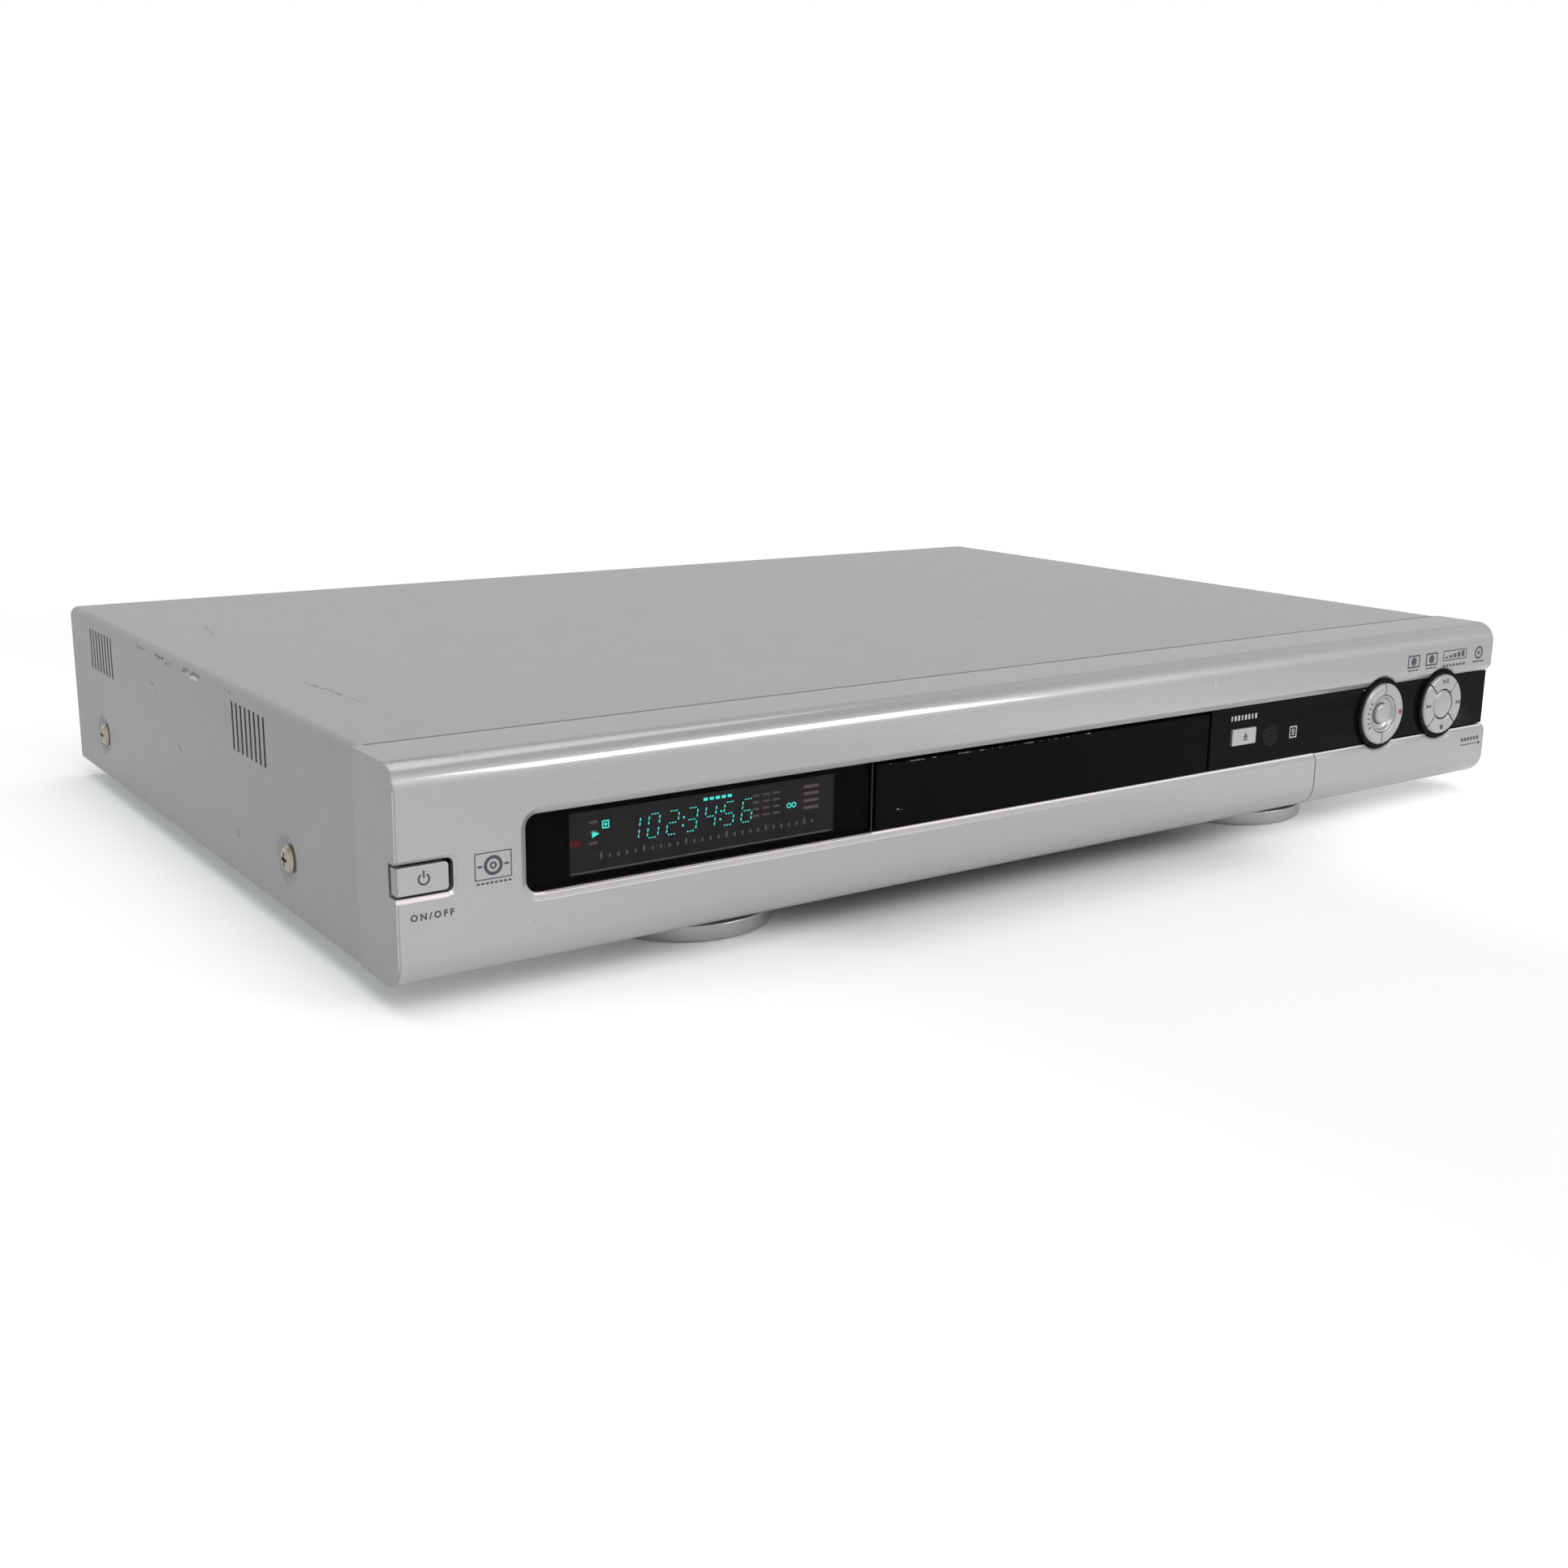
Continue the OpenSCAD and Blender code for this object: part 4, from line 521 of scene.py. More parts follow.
def rolled_metal(name, colour, roughness, stretch):
    """Sheet or turned metal with fine lines one way and a few dull patches."""
    finish = Finish(name)
    lines = finish.noise(4 * MM, 4, 0.6, stretch)
    cloud = finish.noise(25 * MM, 3, 0.6)
    mask = lines * 0.4 + finish.flakes(7 * MM) * 0.25 + cloud * 0.35
    return finish.shade({
        "Base Color": finish.shades(mask, colour, 0.78, 1.12),
        "Metallic": 0.9,
        "Roughness": roughness - 0.07 + 0.12 * cloud + 0.08 * lines,
        "Normal": finish.bump(lines, 0.08),
    })


def board(name, colour, copper):
    """Circuit board: lacquer over tracks and plated pads."""
    finish = Finish(name)
    tracks = finish.node("TexBrick", {"offset": 0.37, "squash": 0.7}, {
        "Vector": finish.node("Mapping", None,
                              {"Vector": finish.point, "Scale": (1, 1, 0)}),
        "Scale": 190.0, "Mortar Size": 0.06, "Mortar Smooth": 0.15, "Brick Width": 1.7,
        "Row Height": 0.42}, "Fac")
    cells = finish.node("TexVoronoi", None, {
        "Vector": finish.point, "Scale": 260.0, "Randomness": 0.5}, "Distance")
    pad = 1 - finish.across(cells, 0.12, 0.17)
    lacquer = finish.tint(tracks * 0.6, colour, darker(colour, 1.7))
    return finish.shade({
        "Base Color": finish.tint(pad, lacquer, copper),
        "Roughness": 0.34 + 0.12 * finish.noise(12 * MM, 3),
        "Metallic": pad * 0.8,
        "Normal": finish.bump(tracks + pad, 0.25, 0.03 * MM),
    })


def smoked_window(name, colour):
    """Smoked window: dark and clear, with faint hairlines."""
    finish = Finish(name)
    hair = finish.across(finish.noise(2.4 * MM, 4, 0.6, (0.15, 1, 1)), 0.72, 0.8)
    finish.material.surface_render_method = "BLENDED"
    return finish.shade({
        "Base Color": finish.shades(hair * 0.4, colour, 0.35, 1.6),
        "Roughness": 0.05 + 0.1 * hair,
        "Specular IOR Level": 0.06,
        "Alpha": 0.45,
    })


def tube_glass(name):
    """Face of the display tube: warm grey with the veil of its grid wires, and a faint painted
    glow.
    """
    finish = Finish(name)
    veil = (0.5 + 0.25 * finish.stripes(1.1 * MM) + 0.12 * finish.stripes(11 * MM)
            + 0.3 * (finish.noise(6 * MM, 3) - 0.5))
    return finish.shade({
        "Base Color": finish.tint(veil, tone(70, 66, 68), tone(98, 92, 92)),
        "Roughness": 0.3,
        # Painted light: the face of the tube glows faintly instead of being lit through the smoked
        # window
        "Emission Color": finish.tint(veil, tone(28, 26, 29), tone(40, 37, 40)),
        "Emission Strength": 1.6,
    })


def socket_mix(name):
    """Black socket bodies, their barrels behind the rear panel plated."""
    finish = Finish(name)
    pits = finish.noise(0.5 * MM, 3, 0.6)
    cloud = finish.noise(6 * MM, 3, 0.6)
    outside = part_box("rear_panel")[1].y + 1.0 * MM
    plated = (finish.axis("Y") > outside) * (finish.axis("X") > 38 * MM)
    black = finish.tint(pits, tone(32, 32, 34), tone(44, 44, 46))
    brassy = finish.tint(cloud, tone(176, 164, 134), tone(214, 200, 164))
    return finish.shade({
        "Base Color": finish.tint(plated, black, brassy),
        "Metallic": plated * 0.95,
        "Roughness": 0.42 - 0.18 * plated + 0.1 * cloud,
        "Normal": finish.bump(pits, 0.15),
    })


def cap_sleeve(name):
    """Printed sleeve of the capacitors with a pale stripe."""
    finish = Finish(name)
    stripe = finish.across(finish.stripes(18 * MM), 0.86, 0.9)
    return finish.shade({
        "Base Color": finish.tint(stripe * 0.7, tone(24, 26, 48), tone(170, 172, 180)),
        "Roughness": 0.3 + 0.1 * finish.noise(3 * MM),
        "Normal": finish.bump(finish.noise(0.6 * MM), 0.05),
    })


def glow(name, colour, strength):
    """Lit phosphor, a little uneven; also the faint painted glow of phosphor that is off."""
    finish = Finish(name)
    fleck = finish.noise(0.5 * MM, 1)
    return finish.shade({
        "Base Color": finish.shades(fleck, colour, 0.2, 0.3),
        "Roughness": 0.5,
        "Emission Color": finish.shades(fleck, colour, 0.86, 1.12),
        "Emission Strength": strength,
    })


def print_ink(name, colour):
    """Screen-printed ink, a little uneven."""
    finish = Finish(name)
    fleck = finish.noise(0.4 * MM)
    return finish.shade({
        "Base Color": finish.shades(fleck, colour, 0.85, 1.15),
        "Roughness": 0.5 + 0.1 * fleck,
    })


# Colours of the socket rings: rear places across and up, and front places across
RINGS = {
    "yellow": ((206, 172, 44), [(48, 36), (48, 22), (90, 22)], [145]),
    "white": ((208, 206, 198), [(62, 36), (62, 22), (104, 22)], [159]),
    "red": ((168, 40, 38), [(76, 36), (76, 22), (118, 36), (118, 22)], [173]),
    "green": ((54, 132, 72), [(90, 36)], []),
    "blue": ((46, 82, 152), [(104, 36)], []),
    "orange": ((206, 116, 42), [(2, 36)], []),
}


# Colour, roughness, size of the grain and gloss of the grained plastics
GRAINED = {
    "felt_black": ((14, 14, 15), 0.9, 0.5, 0.05),
    "inner_black": ((30, 30, 32), 0.5, 0.5, 0.25),
    "frame_grey": ((52, 53, 56), 0.5, 0.6),
    "gear_white": ((222, 219, 208), 0.4, 0.4),
    "pad_rubber": ((34, 34, 35), 0.8, 0.8, 0.2),
    "belt_rubber": ((26, 26, 27), 0.7, 0.4, 0.2),
    "core_yellow": ((206, 178, 66), 0.5, 0.5),
}

# Colour and roughness of the metals, and how tightly their lines lie on each axis
METALS = {
    "zinc_steel": ((196, 198, 200), 0.36, (1, 14, 14)),
    "screw_nickel": ((164, 158, 144), 0.2, (3, 3, 3)),
    "brass": ((212, 178, 104), 0.26, (9, 9, 1)),
    "rod_steel": ((208, 210, 212), 0.14, (9, 1, 9)),
    "motor_steel": ((176, 178, 180), 0.28, (9, 9, 1)),
    "heat_aluminium": ((206, 208, 210), 0.32, (12, 1, 12)),
}
# The ghost segments and the scale are off and glow faintly as painted light; the warm marks are
# lit
PHOSPHORS = {
    "display_ghost": ((120, 112, 116), 1.3),
    "display_warm": ((176, 56, 40), 1.1),
    "display_scale": ((140, 133, 138), 1.1),
}
INKS = {
    "ink_pale": ((190, 190, 192),),
    "ink_dim": ((92, 84, 80),),
    # The rim colour is no ink: it paints highlights along the lens rim
    "ink_rim": ((76, 70, 73),),
    "ink_red": ((150, 40, 40),),
}


def finish_rows(user):
    """Every finish: its maker and what the maker takes after the name."""
    rows = {
        "cover_paint": (cover_paint, user.cover),
        "silver_moulding": (metallic_paint, user.silver, 0.4, 0.36, 0.9, 0.3,
                            BEZEL_RUBS, BEZEL_SHADE_AND_HIGHLIGHT_LINES),
        "silver_key": (metallic_paint, darker(user.silver, 1.05), 0.4, 0.34, 0.7, 0.12),
        "foot_silver": (metallic_paint, darker(user.silver, 1.15), 0.85, 0.26, 0.0, 0.12),
        "lens_smoke": (smoked_window, user.black),
        "tube_glass": (tube_glass,),
        "cap_sleeve": (cap_sleeve,),
        "socket_mix": (socket_mix,),
        "door_black": (gloss_plastic, darker(user.black, 0.8), 0.1, 0.02, DOOR_CHIPS),
        "band_black": (gloss_plastic, darker(user.black, 1.1), 0.14, 0.025, PANEL_CHIPS),
        "pcb_green": (board, tone(24, 84, 52), tone(206, 200, 180)),
        "pcb_brown": (board, tone(150, 112, 62), tone(196, 192, 180)),
        "display_glow": (glow, user.glow, user.glow_strength),
        "ink_grey": (print_ink, user.ink),
    }
    for maker, table in ((grained_plastic, GRAINED), (rolled_metal, METALS), (glow, PHOSPHORS),
                         (print_ink, INKS)):
        for name, (shade, *values) in table.items():
            rows[name] = (maker, tone(*shade), *values)
    for label, ring in RINGS.items():
        rows["ring_" + label] = (grained_plastic, tone(*ring[0]), 0.35, 0.4)
    return rows


def material(name):
    """The finish of that name, made at its first use."""
    plain = bpy.data.materials.get(name)
    if not plain or not plain.get("dressed"):
        if plain:
            plain.name = name + "_plain"
        maker, *values = finish_rows(bpy.context.scene.player_finish)[name]
        maker(name, *values)["dressed"] = True
    return bpy.data.materials[name]


# ---------- making pieces ----------
def placed(name, data):
    """A new object in the scene."""
    thing = bpy.data.objects.new(name, data)
    bpy.context.scene.collection.objects.link(thing)
    return thing


def add_piece(name, mesh, finish, body):
    """Puts a mesh in the scene as a piece that rides on a body."""
    piece = placed(name, mesh)
    mesh.materials.clear()
    mesh.materials.append(material(finish))
    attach(piece, body)
    return piece


def mesh_from(form, name):
    """Turns a finished bmesh into a mesh."""
    mesh = bpy.data.meshes.new(name)
    form.to_mesh(mesh)
    form.free()
    return mesh


def smooth_by_angle(mesh, angle):
    mesh.shade_smooth()
    mesh.set_sharp_from_angle(angle=angle)


def skin(node, radius, crisp=None):
    """Stands for a node with the same shape, its flat faces joined and its edges rounded."""
    sizes = bpy.context.scene.player_moulding
    crisp = crisp or sizes.crisp
    slot = SUBPARTS[node]
    form = bmesh.new()
    form.from_mesh(NODES[node].data)
    bmesh.ops.remove_doubles(form, verts=form.verts, dist=0.001 * MM)
    bmesh.ops.dissolve_limit(form, angle_limit=math.radians(0.5), verts=form.verts,
                             edges=form.edges)
    mesh = mesh_from(form, node + "_skin")
    smooth_by_angle(mesh, crisp)
    piece = add_piece(node + "_skin", mesh, slot, BODY_OF[node])
    edges = piece.modifiers.new("Rounded edges", "BEVEL")
    edges.width = radius
    edges.segments = sizes.steps
    edges.limit_method = "ANGLE"
    edges.angle_limit = crisp
    edges.use_clamp_overlap = True
    edges.harden_normals = True
    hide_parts(node)


class Stencil:
    """Flat printed shapes in millimetres, u to the right and v up, gathered in one mesh."""

    def __init__(self):
        self.form = bmesh.new()

    def bar(self, start, end, width):
        start = Vector(start)
        end = Vector(end)
        way = end - start
        place = (Matrix.Translation(((start + end) / 2).to_3d())
                 @ Matrix.Rotation(math.atan2(way.y, way.x), 4, "Z")
                 @ Matrix.Diagonal((way.length, width, 1, 1)))
        bmesh.ops.create_grid(self.form, x_segments=1, y_segments=1, size=0.5, matrix=place)

    def patch(self, low, high):
        middle = (low[1] + high[1]) / 2
        self.bar((low[0], middle), (high[0], middle), high[1] - low[1])

    def dashes(self, start, pitch, length, width, count):
        """A row of short bars, the first from the start."""
        for index in range(count):
            left = start[0] + index * pitch
            self.bar((left, start[1]), (left + length, start[1]), width)

    def outline(self, low, high, width):
        half = width / 2
        corners = (low, (high[0], low[1]), high, (low[0], high[1]))
        for index, back in enumerate(((half, 0), (0, half), (-half, 0), (0, -half))):
            self.bar(Vector(corners[index]) - Vector(back),
                     Vector(corners[(index + 1) % 4]) - Vector(back), width)

    def disc(self, centre, radius, sides=32, turn=0.0, squash=1.0):
        place = (Matrix.Translation(Vector(centre).to_3d()) @ Matrix.Rotation(turn, 4, "Z")
                 @ Matrix.Diagonal((1, squash, 1, 1)))
        bmesh.ops.create_circle(self.form, cap_ends=True, segments=sides, radius=radius,
                                matrix=place)

    def arrow(self, centre, radius, side=1, squash=1.0):
        """A triangle that points right (1) or left (-1)."""
        self.disc(centre, radius, 3, -side * math.pi / 2, squash)

    def ring(self, centre, radius, width, start=0.0, sweep=math.tau, steps=32):
        centre = Vector(centre).to_3d()
        ends = [self.form.verts.new(centre + Vector((radius + side * width / 2, 0, 0)))
                for side in (-1, 1)]
        edge = self.form.edges.new(ends)
        bmesh.ops.rotate(self.form, cent=centre, matrix=Matrix.Rotation(start, 3, "Z"), verts=ends)
        bmesh.ops.spin(self.form, geom=ends + [edge], cent=centre, axis=(0, 0, 1), dvec=(0, 0, 0),
                       angle=sweep, steps=steps, use_merge=sweep >= math.tau)

    def words(self, text, centre, size, spread):
        """Plain lettering centred on a point, its letters spread apart."""
        curve = bpy.data.curves.new("lettering", "FONT")
        curve.body = text
        curve.size = size
        curve.space_character = spread
        curve.offset = 0.035 * size
        curve.align_x = "CENTER"
        curve.align_y = "CENTER"
        curve.resolution_u = 3
        holder = placed("lettering", curve)
        shaped = holder.evaluated_get(bpy.context.evaluated_depsgraph_get())
        mesh = bpy.data.meshes.new_from_object(shaped)
        mesh.transform(Matrix.Translation(Vector(centre).to_3d()))
        self.form.from_mesh(mesh)
        bpy.data.meshes.remove(mesh)
        bpy.data.objects.remove(holder)
        bpy.data.curves.remove(curve)

    def mesh(self, name, place, thickness=PRINT_HEIGHT):
        """Gives the shapes a thickness and lays them at a place of the object."""
        bmesh.ops.remove_doubles(self.form, verts=self.form.verts, dist=0.0005)
        grown = bmesh.ops.extrude_face_region(self.form, geom=self.form.faces[:],
                                              use_keep_orig=True)
        raised = [part for part in grown["geom"] if isinstance(part, bmesh.types.BMVert)]
        bmesh.ops.translate(self.form, verts=raised, vec=(0, 0, thickness))
        self.form.transform(place)
        bmesh.ops.recalc_face_normals(self.form, faces=self.form.faces)
        return mesh_from(self.form, name)


def front_plane(depth):
    """Turns a stencil to the front, at a depth behind the face."""
    return (Matrix.Translation(spot(0, depth, 0)) @ Matrix.Rotation(math.pi / 2, 4, "X")
            @ Matrix.Scale(MM, 4))


def side_plane(x, side):
    """Turns a stencil to face out at the left (-1) or right (1) side, its u to the rear."""
    rows = ((0, 0, side), (1, 0, 0), (0, 1, 0))
    return Matrix.Translation(spot(x, 0, 0)) @ Matrix(rows).to_4x4() @ Matrix.Scale(MM, 4)


def printed(name, stencil, depth=0.0, body="case", finish="ink_grey"):
    """A print on a surface that faces the front, at a depth in millimetres."""
    add_piece(name, stencil.mesh(name, front_plane(depth - PRINT_SINK)), finish, body)


def key_print(name, stencil, node, finish="ink_grey"):
    """A print on the front of a button, which rides with it."""
    body = node.replace("_button", "_key")
    printed(name, stencil, depth_of(node), body, finish)


def turned(form, profile, centre, depth=0.0, steps=36):
    """Spins a closed profile of radii and depths round a point of the front view."""
    across, up = centre
    corners = [form.verts.new(spot(across + radius, depth + back, up)) for radius, back in profile]
    edges = [form.edges.new((corner, corners[index - 1])) for index, corner in enumerate(corners)]
    bmesh.ops.spin(form, geom=corners + edges, cent=spot(across, 0, up), axis=(0, 1, 0),
                   dvec=(0, 0, 0), angle=math.tau, steps=steps, use_merge=True)


# ---------- operators ----------
class PLAYER_OT_frame_finishes(bpy.types.Operator):
    """Gives every node of the frame its finish"""

    bl_idname = "player.frame_finishes"
    bl_label = "Frame finishes"

    def execute(self, context):
        for node, slot in SUBPARTS.items():
            mesh = NODES[node].data
            mesh.materials.clear()
            mesh.materials.append(material(slot))
        return {"FINISHED"}


class PLAYER_OT_mouldings(bpy.types.Operator):
    """Rounds the edges of the front mouldings and of the cover"""

    bl_idname = "player.mouldings"
    bl_label = "Mouldings and cover"

    def execute(self, context):
        sizes = context.scene.player_moulding
        for node in ("front_bezel", "front_flap", "tray_front", "right_panel", "display_lens"):
            skin(node, sizes.edge)
        skin("top_cover", sizes.fold, sizes.sheet_crisp)
        return {"FINISHED"}


# Black sheets of painted shade behind the vent slots: where each starts, and their length,
# heights, rim, distance out and thickness
SCREEN_STARTS = {"front": 87.5, "rear": 244.3}
SCREEN_LENGTH = 33
SCREEN_FOOT, SCREEN_HEAD = 36, 54
SCREEN_RIM = 1.2
SCREEN_OUT = 212.3
SCREEN_HEIGHT = 0.6


class PLAYER_OT_liners(bpy.types.Operator):
    """Puts black sheets behind the vent slots of the cover's sides, as painted shade seen through
    them
    """

    bl_idname = "player.liners"
    bl_label = "Vent liners"

    def execute(self, context):
        for side, name in ((-1, "left"), (1, "right")):
            for place, start in SCREEN_STARTS.items():
                ends = (start, SCREEN_FOOT), (start + SCREEN_LENGTH, SCREEN_HEAD)
                screen = Stencil()
                screen.patch(*ends)
                screen.outline(*ends, SCREEN_RIM)
                label = "dust_screen_%s_%s" % (name, place)
                mesh = screen.mesh(label, side_plane(side * SCREEN_OUT, side), SCREEN_HEIGHT)
                add_piece(label, mesh, "felt_black", "case")
        return {"FINISHED"}


# Profiles of the rings as radii and depths, the rear ones from just behind the rear panel
REAR_RING = ((4.2, 0), (5.5, 0), (5.5, 0.6), (5.25, 0.85), (4.95, 0.9), (4.85, 1.6), (4.2, 1.7))
REAR_RING_GAP = 0.02
FRONT_RING = ((4.2, 14.9), (4.75, 14.9), (4.75, 13.6), (4.6, 13.4), (4.2, 13.4))


class PLAYER_OT_socket_rings(bpy.types.Operator):
    """Puts the coloured plastic rings round the phono sockets"""

    bl_idname = "player.socket_rings"
    bl_label = "Socket rings"

    def execute(self, context):
        rear = depth_of("rear_panel", 1) + REAR_RING_GAP
        height = middle_of("front_sockets")[1]
        for label, (colour, rear_places, front_places) in RINGS.items():
            form = bmesh.new()
            for place in rear_places:
                turned(form, REAR_RING, place, rear)
            for x in front_places:
                turned(form, FRONT_RING, (x, height))
            bmesh.ops.recalc_face_normals(form, faces=form.faces)
            mesh = mesh_from(form, "socket_rings_" + label)
            smooth_by_angle(mesh, math.radians(30))
            add_piece("socket_rings_" + label, mesh, "ring_" + label, "case")
        return {"FINISHED"}


class PLAYER_OT_buttons(bpy.types.Operator):
    """Rounds the caps of the buttons and dials"""

    bl_idname = "player.buttons"
    bl_label = "Buttons and dials"

    def execute(self, context):
        for node in SUBPARTS:
            if node.endswith("_button"):
                skin(node, context.scene.player_moulding.key_edge)
        return {"FINISHED"}


class PLAYER_OT_feet(bpy.types.Operator):
    """Rounds the rims of the feet"""

    bl_idname = "player.feet"
    bl_label = "Feet"

    def execute(self, context):
        for node in SUBPARTS:
            if node.startswith("foot_") and node != "foot_pads":
                skin(node, context.scene.player_moulding.key_edge)
        return {"FINISHED"}


# Segments of a digit: both ends on a grid one wide and two high, and the dashes of each
SEGMENTS = {
    "a": ((0, 2), (1, 2), 3),
    "b": ((1, 2), (1, 1), 2),
    "c": ((1, 1), (1, 0), 2),
    "d": ((0, 0), (1, 0), 3),
    "e": ((0, 1), (0, 0), 2),
    "f": ((0, 2), (0, 1), 2),
    "g": ((0, 1), (1, 1), 3),
}
DIGIT_SEGMENTS = {
    "0": "abcdef", "1": "bc", "2": "abged", "3": "abgcd", "4": "fgbc",
    "5": "afgcd", "6": "afgedc", "7": "abc", "8": "abcdefg", "9": "abfgcd",
}
DASH_WIDTH = 0.32
DASH_GAP = 0.42
SEGMENT_GAP = 0.35

# The window's corners, and places of the lit shapes in it
WINDOW = ((-166.6, 20.6), (-83.4, 37.1))
PLAY_ICON = (-159.1, 30.7)
DISC_ICON = ((-156.7, 32.0), (-155.0, 33.8))
LINK_ICONS = ((-98.5, 29.9), (-96.9, 29.9))
TICKS = 27
TICK_START = (-157.6, 24.0)
TICK_PITCH = 2.56
TICK_WIDTH = 0.62


def lit(name, stencil, finish):
    """A glowing print on the front of the display tube: lit phosphor or painted light."""
    printed(name, stencil, depth_of("display_tube"), finish=finish)


class PLAYER_OT_display(bpy.types.Operator):
    """Lights the display: digits and icons, with the level scale and the segments that are off
    glowing faintly as painted light
    """

    bl_idname = "player.display"
    bl_label = "Display"

    def digit(self, stencil, sign, origin, layout):
        """One digit, each of its segments a row of dashes."""
        half = layout.height / MM / 2
        for segment in DIGIT_SEGMENTS[sign]:
            *grid, dashes = SEGMENTS[segment]
            start, end = (origin + Vector((
                x * layout.width / MM + y * half * math.tan(layout.slant), y * half))
                for x, y in grid)
            trim = (end - start).normalized() * SEGMENT_GAP
            start, end = start + trim, end - trim
            step = (end - start) / dashes
            trim = step.normalized() * DASH_GAP / 2
            for index in range(dashes):
                stencil.bar(start + step * index + trim, start + step * (index + 1) - trim,
                            DASH_WIDTH)

    def time(self, layout):
        """Seven digits, with colons before the fourth and the sixth."""
        left, base, pitch, width = (getattr(layout, name) / MM
                                    for name in ("left", "base", "pitch", "width"))
        shape = Stencil()
        for index, sign in enumerate(layout.digits):
            self.digit(shape, sign, Vector((left + index * pitch, base)), layout)
        for index in (3, 5):
            middle = left + index * pitch - (pitch - width) / 2 + 0.35
            for height in (1.9, 4.1):
                lean = height * math.tan(layout.slant)
                shape.disc((middle + lean, base + height), 0.3, 12)
        lit("display_digits", shape, "display_glow")

    def icons(self):
        shape = Stencil()
        shape.arrow(PLAY_ICON, 1.05, squash=1.35)
        shape.outline(*DISC_ICON, 0.32)
        shape.disc((-155.85, 32.9), 0.42, 16)
        for index in range(5):
            shape.patch((-126.2 + index * 1.9, 34.95), (-124.9 + index * 1.9, 35.75))
        for place in LINK_ICONS:
            shape.ring(place, 0.62, 0.3, steps=20)
        lit("display_icons", shape, "display_glow")

    def scale(self):
        """A row of ticks, each fifth one longer, over a thin line, all off and glowing faintly as
        painted light.
        """
        shape = Stencil()
        for index in range(TICKS):
            x = TICK_START[0] + index * TICK_PITCH
            height = 0.95 if index % 5 else 1.6
            shape.patch((x, TICK_START[1]), (x + TICK_WIDTH, TICK_START[1] + height))
        shape.bar((-166, 20.95), (-84, 20.95), 0.34)
        lit("display_scale", shape, "display_scale")

    def unlit(self):
        """Segments that are off and barely show, glowing faintly as painted light."""
        shape = Stencil()
        for row in range(4):
            for column in range(3):
                x = -110.6 + column * 3.4
                shape.patch((x, 28.2 + row * 1.9), (x + 2.2, 28.8 + row * 1.9))
            shape.patch((-93.6, 28.0 + row * 2.0), (-88.4, 28.9 + row * 2.0))
        for height in (28.0, 31.0, 33.6):
            shape.patch((-160.6, height), (-158.2, height + 0.7))
        lit("display_ghosts", shape, "display_ghost")

    def window(self):
        """Black mask behind the window and painted highlights along its rim."""
        inset = 0.3
        low = (LENS_LO.x / MM + inset, (LENS_LO.z - SEAT) / MM + inset)
        high = (LENS_HI.x / MM - inset, (LENS_HI.z - SEAT) / MM - inset)
        (left, foot), (right, head) = WINDOW
        mask = Stencil()
        mask.patch(low, (left, high[1]))
        mask.patch((right, low[1]), high)
        mask.patch((left, head), (right, high[1]))
        mask.patch((left, low[1]), (right, foot))
        printed("display_mask", mask, depth_of("display_lens", 1) + 0.08,
                finish="felt_black")
        # Painted highlights: pale lines along the lower and right edges of the lens, where it
        # catches light
        rim = Stencil()
        rim.bar((low[0] + 4, low[1] + 0.35), (high[0] - 0.2, low[1] + 0.35), 0.22)
        rim.bar((low[0] + 6, low[1] + 1.1), (high[0] - 0.2, low[1] + 1.1), 0.14)
        rim.bar((high[0] - 0.3, low[1]), (high[0] - 0.3, high[1] - 0.2), 0.16)
        printed("lens_rim_lines", rim, depth_of("display_lens"),
                finish="ink_rim")

    def warm_marks(self):
        shape = Stencil()
        for left in (-166.9, -165.65, -164.4):
            shape.outline((left, 28.3), (left + 1.0, 29.5), 0.22)
        lit("display_warm_marks", shape, "display_warm")

    def execute(self, context):
        self.time(context.scene.player_display)
        self.icons()
        self.scale()
        self.unlit()
        self.window()
        self.warm_marks()
        return {"FINISHED"}


# Places and sizes of the prints
POWER_SIGN = (-207.8, 27.9)
POWER_OPENING = math.radians(34)
POWER_LABEL = (-206.0, 18.5)
DISC_FRAME = ((-194.6, 25.2), (-184.9, 31.9))
SIGN_ROW = 46.6
SIGN_DASHES = 43.4
PANEL_DEPTH = 1.5
RECEIVER = (96.2, 27.9)
DOT_PITCH = 0.85
DIAL_RADIUS = 8.4


